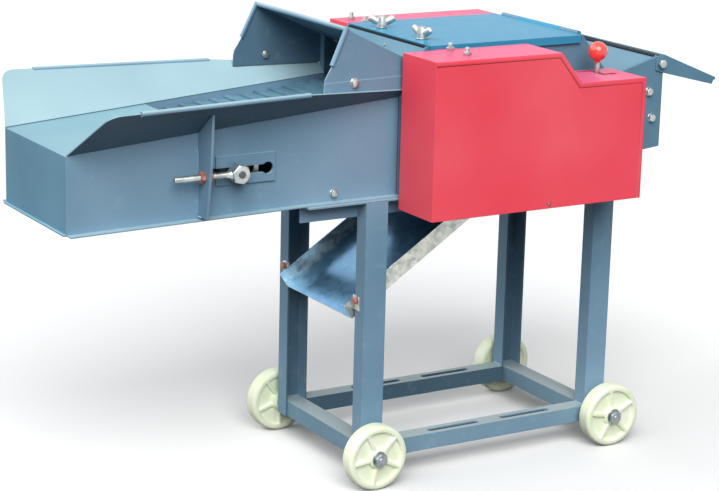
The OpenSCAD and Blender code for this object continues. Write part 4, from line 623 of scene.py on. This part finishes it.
def moulded_wheel(sides=180):
    """Wheel about Z: a meridian from the bore over the outer face, round the tread and back over the
    inner face, carried round. Both faces sink by the pocket depth times three smooth steps."""
    bend = np.linspace(0, TAU / 4, 9)
    face = np.linspace(HUB_R + 0.5, RIM_R + 1.5, 30)
    hub_r = np.array([BORE_R, HUB_R - 1.6, HUB_R - 0.4, HUB_R])
    half_r = np.concatenate([face, WHEEL_R - TREAD_ROUND + TREAD_ROUND * np.sin(bend)])
    half_z = np.concatenate([np.full(len(face), WHEEL_HALF),
                             WHEEL_HALF - TREAD_ROUND + TREAD_ROUND * np.cos(bend)])
    r = np.concatenate([hub_r, half_r, half_r[::-1], hub_r[::-1]])
    z = np.concatenate([HUB_OUTER, half_z, -half_z[::-1], HUB_INNER])
    share = TAU / RIBS
    to_rib = (angles(sides) - FIRST_RIB + share / 2) % share - share / 2
    clear = r[:, None] * np.abs(np.sin(to_rib)) - RIB_W / 2
    inside = smooth_step((r - HUB_R - 0.8) / DRAFT) * smooth_step((RIM_R - r) / DRAFT)
    sink = POCKET * inside[:, None] * smooth_step(clear / 2.5)
    heights = z[:, None] - np.sign(z)[:, None] * sink
    return turned(np.repeat(r[:, None], sides, 1), heights, sides, ring=True)


WHEEL = moulded_wheel()
print("wheel grid:", len(WHEEL[0]), "points")

# %% Wheels and their axle fittings
STUB = ([0, 6, 6, 0], [139, 139, 182, 182])  # radii, and how far from the middle
COLLAR = ([0, 11, 11, 10.4, 0], [139, 139, 143.6, 144.2, 144.2])
AXLE_WASHER, WASHER_Y = washer(13.0, 6.0, 1.7), 179.3
AXLE_NUT, AXLE_END, NUT_Y = faceted(20.0, 7.0, bore=5.4), thread(5.9, 1.75, 10.0), 181.0
shapes = []
for name, (x, side, rolled) in WHEEL_PLACES.items():
    out, hub = np.array([0.0, side, 0.0]), np.array([x, 0.0, WHEEL_R])
    wheel = [stand(WHEEL, hub + WHEEL_Y * out, out, rolled)]
    made = piece("wheel_moulded_" + name, wheel, NYLON, name + "_wheel")
    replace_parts(made, "wheel_" + name)
    shapes += [stand(turned(*STUB), hub, out), stand(turned(*COLLAR), hub, out),
               stand(AXLE_WASHER, hub + WASHER_Y * out, out),
               stand(AXLE_NUT, hub + NUT_Y * out, out, spin=13 + x / 9),
               stand(AXLE_END, hub + NUT_Y * out, out)]
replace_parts(piece("axle_fittings", shapes, STEEL, "frame"), "wheel_axles")

# %% [markdown]
# ## Belt tension screws
#
# The tail axle runs in two eyes, each forged on a 10 mm screw that passes through a gusset
# plate. Nuts on both sides of the plate set the belt's tension, and they have rusted where
# the zinc was cut by the spanner. The eye is forged with six flats and eased edges, and its
# neck is drawn down to the screw. Plain rods would do from afar, but this screw is in full
# view, so it has a real thread.

# %% Eye bolts and tension nuts
TAIL_X, TAIL_Z, SCREW_Y, GUSSET_X, GUSSET_HALF = -299.0, 538.0, 140.0, -356.0, 2.0
SCREW_END, SCREW_LENGTH, EYE_HALF, NECK_START, NUT_HIGH = GUSSET_X - 52.0, 88.0, 10.0, -11.5, 8.0
NECK = ([0, 8.5, 7.4, 6.0, 5.2, 5.0, 0], [0, 0, 3, 5, 8, 12, 12])
TENSION_NUT = faceted(16.4, NUT_HIGH, bore=5.06)
eyes, nuts = [], []
for side in SIDES:
    axle, out = np.array([TAIL_X, side * SCREW_Y, TAIL_Z]), np.array([0.0, side, 0.0])
    eyes += [stand(faceted(27.5, 2 * EYE_HALF, bore=5.6), axle - EYE_HALF * out, out, spin=14),
             stand(turned(*NECK), axle + (NECK_START, 0, 0), TO_FEED),
             stand(thread(5.0, 1.5, SCREW_LENGTH), (SCREW_END, side * SCREW_Y, TAIL_Z), ALONG)]
    before, behind = GUSSET_X - GUSSET_HALF - NUT_HIGH, GUSSET_X + GUSSET_HALF  # the gusset plate
    for start, spin in ((before, 22 + 9 * side), (behind, 50 - 12 * side)):
        nuts.append(stand(TENSION_NUT, (start, side * SCREW_Y, TAIL_Z), ALONG, spin))
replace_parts(piece("eye_bolts_forged", eyes, ZINC, "tensioner"), "eye_bolts")
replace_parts(piece("nuts_tension", nuts, RUSTY, "frame"), "tension_nuts")

# %% [markdown]
# ## Wing nuts and lever ball
#
# Two cast wing nuts hold the feed edge of the cover. Each has a tapered hub and two lobes
# that curve up and out, thick at the root and thin at the tip. They could be sculpted, but
# an oval section carried along a curve is such a lobe already. The lever ends in a turned
# ball with a short collar.

# %% Profile along a path


def swept(path, side, wide, thick, sides=20):
    """Oval section carried along a path: half width across the side direction, half thickness along
    the side direction, each an array over the path; both ends close to a point."""
    path = np.asarray(path, float)
    way = np.gradient(path, axis=0)
    lift = np.cross(way, side)
    lift /= np.linalg.norm(lift, axis=1, keepdims=True)
    turn = angles(sides)[None, :, None]
    rings = (path[:, None] + np.cos(turn) * (lift * np.asarray(wide)[:, None])[:, None]
             + np.sin(turn) * (np.asarray(side, float) * np.asarray(thick)[:, None])[:, None])
    ends = [np.repeat(p[None, None], sides, 1) for p in (path[0], path[-1])]
    return np.concatenate([ends[0], rings, ends[1]]).reshape(-1, 3), grid_faces(len(path) + 2, sides)


WING_HUB = ([0, 8.6, 9.0, 8.8, 7.2, 6.8, 5.6, 0], [2, 2, 2.6, 5, 17, 18.6, 19.6, 19.6])
LOBE_ROOT, LOBE_REACH, ROUND_FROM = 3.0, 18.5, 0.82  # outward; the tip rounds off from this share on
LOBE_LOW, LOBE_RISE, LOBE_CURL = 9.0, 4.0, 5.5  # upward


def wing_nut():
    """Wing nut about Z: tapered hub, dished washer, screw, and two lobes on curves whose height grows
    with the square of the distance from the hub."""
    t = np.linspace(0, 1, 24)
    tip = np.sqrt(np.clip(1 - ((t - ROUND_FROM) / (1 - ROUND_FROM)).clip(0) ** 2, 0, 1))
    wide, thick = (6.6 - 0.6 * t) * tip, (5.2 - 1.2 * t) * tip
    rise = LOBE_LOW + LOBE_RISE * t + LOBE_CURL * t ** 2
    screw = stand(thread(SHANK_R, PITCH, 30.0), (0, 0, -14), UP)
    parts = [turned(*WING_HUB), washer(10.0, 4.0, 2.0), screw]
    for sign in SIDES:
        path = np.stack([sign * (LOBE_ROOT + LOBE_REACH * t), 0 * t, rise], 1)
        parts.append(swept(path, (0, 1, 0), wide, thick))
    return parts


KNOB_X, KNOB_Y, COVER_TOP = 70.0, 62.0, 709.3
for name, side, spin in (("near", -1, 100.0), ("far", 1, 150.0)):
    shapes = [stand(part, (KNOB_X, side * KNOB_Y, COVER_TOP), UP, spin) for part in wing_nut()]
    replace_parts(piece("wing_nut_" + name, shapes, ZINC, name + "_knob"), "knob_" + name)

# %% Lever ball
BALL_R, BALL_AT = 16.0, (340.0, -172.0, 689.0)
COLLAR_R, COLLAR_Z = [0, 5.4, 6.2], [-18, -18, -17.4]
bend = np.linspace(-0.42 * np.pi, 0.5 * np.pi, 28)
radii = np.concatenate([COLLAR_R, BALL_R * np.cos(bend)])
heights = np.concatenate([COLLAR_Z, BALL_R * np.sin(bend)])
shapes = [stand(turned(radii, heights, 48), BALL_AT, UP)]
ball = piece("lever_ball_turned", shapes, BALL, "lever")
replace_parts(ball, "lever_ball")

# %% [markdown]
# ## Weld beads
#
# The frame is welded before it is painted, and the beads show through the film at every
# corner: rails to legs, and gusset plates to the trough. A bump in the paint could draw
# them, but only a shape of their own catches light and shade. So a bead is a rod along the
# seam whose radius swells once for each drop of weld, about 3 mm apart.

# %% Beads along the seams


def bead(start, end, radius=1.9):
    """Weld bead: half round rod between two points, its radius a wave with one crest each 3 mm, closed
    like a bubble at both ends."""
    start, end = np.asarray(start, float), np.asarray(end, float)
    length = np.linalg.norm(end - start)
    t = np.linspace(0, 1, int(length / 0.7) + 8)
    run = t * length
    cap = np.sqrt(np.clip(1 - (1 - np.minimum(run, length - run) / radius).clip(0) ** 2, 0, 1))
    size = radius * cap * (1 + 0.16 * np.sin(run * TAU / 3.0))
    across = np.cross(end - start, (0.31, 0.57, 0.76))
    return swept(start + t[:, None] * (end - start), across / np.linalg.norm(across), size, size, 10)


SEAMS = []  # both ends of each seam, as x, distance from the middle, z
for x in (-32.0, 375.0):  # where a leg meets the base rail
    SEAMS += [((x, 139.0, 40.0), (x, 139.0, 65.0)), ((x, 137.0, 66.0), (x, 111.0, 66.0))]
for x in (GUSSET_X - GUSSET_HALF, GUSSET_X + GUSSET_HALF):  # both faces of a gusset plate
    SEAMS += [((x, 118.5, 476.0), (x, 118.5, 574.0)), ((x, 121.0, 473.0), (x, 131.0, 473.0))]
beads = [bead(*np.multiply(seam, (1, side, 1))) for side in SIDES for seam in SEAMS]
piece("weld_beads", beads, FRAME_PAINT, "frame")

# %% [markdown]
# ## Folded rim of the gear guard
#
# The front of the gear guard is let into a folded rim, which shows as a strip 8 mm wide
# along its edges. The strip follows the guard's outline: along the top, down the slope, along
# the step and down the discharge end. Its inner edge is the same outline moved in. A painted
# line would lie flat, while a strip of 0.2 mm has an edge that throws a fine shadow.

# %% Rim strip
RIM_W, RIM_T = 8.0, 0.2
SLOPE_SHARE = 0.478  # how far along X the inner corners of the slope move, as a share of the width
along = np.array([[-17.0, 705.0], [217.0, 705.0], [258.0, 654.0], [387.0, 654.0], [387.0, 455.0]])
inner = along - np.array([[0, 1], [SLOPE_SHARE, 1], [SLOPE_SHARE, 1], [1, 1], [1, 0]]) * RIM_W
# section of the strip: share of the width, share of the thickness
EDGE = np.array([[0, 0], [0, 0.7], [0.05, 1], [0.8, 1], [1, 0.15], [1, 0]])
flat = along[:, None] + EDGE[None, :, :1] * (inner - along)[:, None]
proud = np.broadcast_to(GUARD_FRONT - RIM_T * EDGE[:, 1], flat.shape[:2])
rows = np.stack([flat[..., 0], proud, flat[..., 1]], -1)
ends = [np.repeat(rows[k].mean(0)[None, None], len(EDGE), 1) for k in (0, -1)]
rim = (np.concatenate([ends[0], rows, ends[1]]).reshape(-1, 3), grid_faces(len(rows) + 2, len(EDGE)))
piece("guard_rim_strip", [rim], GUARD_PAINT, "frame")

# %% [markdown]
# ## Rubber lip of the spout
#
# Between the spout and the flap is a gap of 11 mm, in which the flap's plate swings. A
# rubber lip under the edge of the spout keeps the chaff in. It stays within 13 mm of the
# flap's pivot, so the plate, which swings at 14 mm, clears it. A bent strip could be made
# with a curve, but one profile drawn out across the casing keeps to that limit exactly.

# %% Spout lip
PIVOT_X, PIVOT_Z, LIP_HALF = 510.0, 650.0, 118.5
LIP = np.array([[-10.0, 9.0], [-5.2, 10.9], [1.0, 12.4], [4.6, 12.0], [7.4, 10.7],
                [6.8, 9.4], [4.2, 10.6], [1.0, 10.9], [-4.8, 9.4], [-9.5, 7.6]])
full = np.array([0, 1, 1, 0])[:, None, None]  # the outer two rows close the ends at one point each
profile = full * LIP + (1 - full) * LIP.mean(0)
across = np.array([-1, -1, 1, 1])[:, None] * np.full((1, len(LIP)), LIP_HALF)
rows = np.stack([PIVOT_X + profile[..., 0], across, PIVOT_Z + profile[..., 1]], -1)
piece("spout_lip", [(rows.reshape(-1, 3), grid_faces(4, len(LIP)))], SEAL, "frame")

# %% [markdown]
# ## Floor and light
#
# A pale floor and a white surround keep the machine clear, as in a catalogue. Three wide
# distant lamps stand high round it, as openings of a shed would, so that tops are bright and
# what lies under the wings is dark. Wide lamps light floor and machine evenly. Floor and
# surround are pale to the eye, in mirrors and through glass, but give back less light, which
# keeps the undersides dark. The Light Path node tells these rays from the rest.

# %% Floor


def seen_rays(tree):
    """1 for rays from the camera, a mirror or glass and 0 for the rest: the greatest of three flags."""
    path = add(tree, "ShaderNodeLightPath").outputs
    seen = path["Is Camera Ray"]
    for flag in ("Is Glossy Ray", "Is Transmission Ray"):
        seen = add(tree, "ShaderNodeMath", {0: seen, 1: path[flag]}, operation="MAXIMUM").outputs["Value"]
    return seen


FLOOR = 30.0  # half width in metres
floor_mesh = bpy.data.meshes.new("floor")
floor_mesh.from_pydata([(x * FLOOR, y * FLOOR, 0) for x, y in ((-1, -1), (1, -1), (1, 1), (-1, 1))], [],
                       [(0, 1, 2, 3)])
floor = bpy.data.objects.new("floor", floor_mesh)
bpy.context.scene.collection.objects.link(floor)
paper, tree, _, shader = begin("paper_floor_matt")
tone = add(tree, "ShaderNodeMix", {"Factor": seen_rays(tree), "A": linear("#454545"),
                                   "B": linear("#F4F4F3")}, data_type="RGBA")
tree.links.new(tone.outputs["Result"], shader.inputs["Base Color"])
shader.inputs["Roughness"].default_value = 0.9
shader.inputs["Specular IOR Level"].default_value = 0.1
floor_mesh.materials.append(paper)
print("floor laid")

# %% Surround
world = bpy.data.worlds.new("studio")
world.use_nodes = True
bpy.context.scene.world = world
tree = world.node_tree
tree.nodes.clear()
sky = add(tree, "ShaderNodeBackground", {"Color": linear("#EAF2FA"), "Strength": 0.22})
white = add(tree, "ShaderNodeBackground", {"Color": linear("#FFFFFF"), "Strength": 1.0})
mixed = add(tree, "ShaderNodeMixShader", {0: seen_rays(tree), 1: sky.outputs["Background"],
                                          2: white.outputs["Background"]})
add(tree, "ShaderNodeOutputWorld", {"Surface": mixed.outputs["Shader"]})
print("surround set")

# %% Lamps


def distant_lamp(name, source, strength, spread, colour):
    """Sun lamp whose light comes from the direction source, softened over an angle in degrees."""
    light = bpy.data.lights.new(name, "SUN")
    light.energy, light.angle, light.color = strength, math.radians(spread), linear(colour)[:3]
    lamp = bpy.data.objects.new(name, light)
    lamp.rotation_mode = "QUATERNION"
    lamp.rotation_quaternion = Vector(source).to_track_quat("Z", "Y")
    bpy.context.scene.collection.objects.link(lamp)
    print(name, "from", source, "at strength", strength)


distant_lamp("rear_light", (-0.7, 0.75, 0.6), 1.1, 60, "#FFFDF8")
distant_lamp("front_light", (-0.4, -0.85, 0.8), 3.2, 45, "#FFFFFF")
distant_lamp("feed_end_light", (-0.8, -0.1, 0.8), 1.0, 40, "#F8FAFF")
bpy.context.scene.view_settings.view_transform = "Standard"
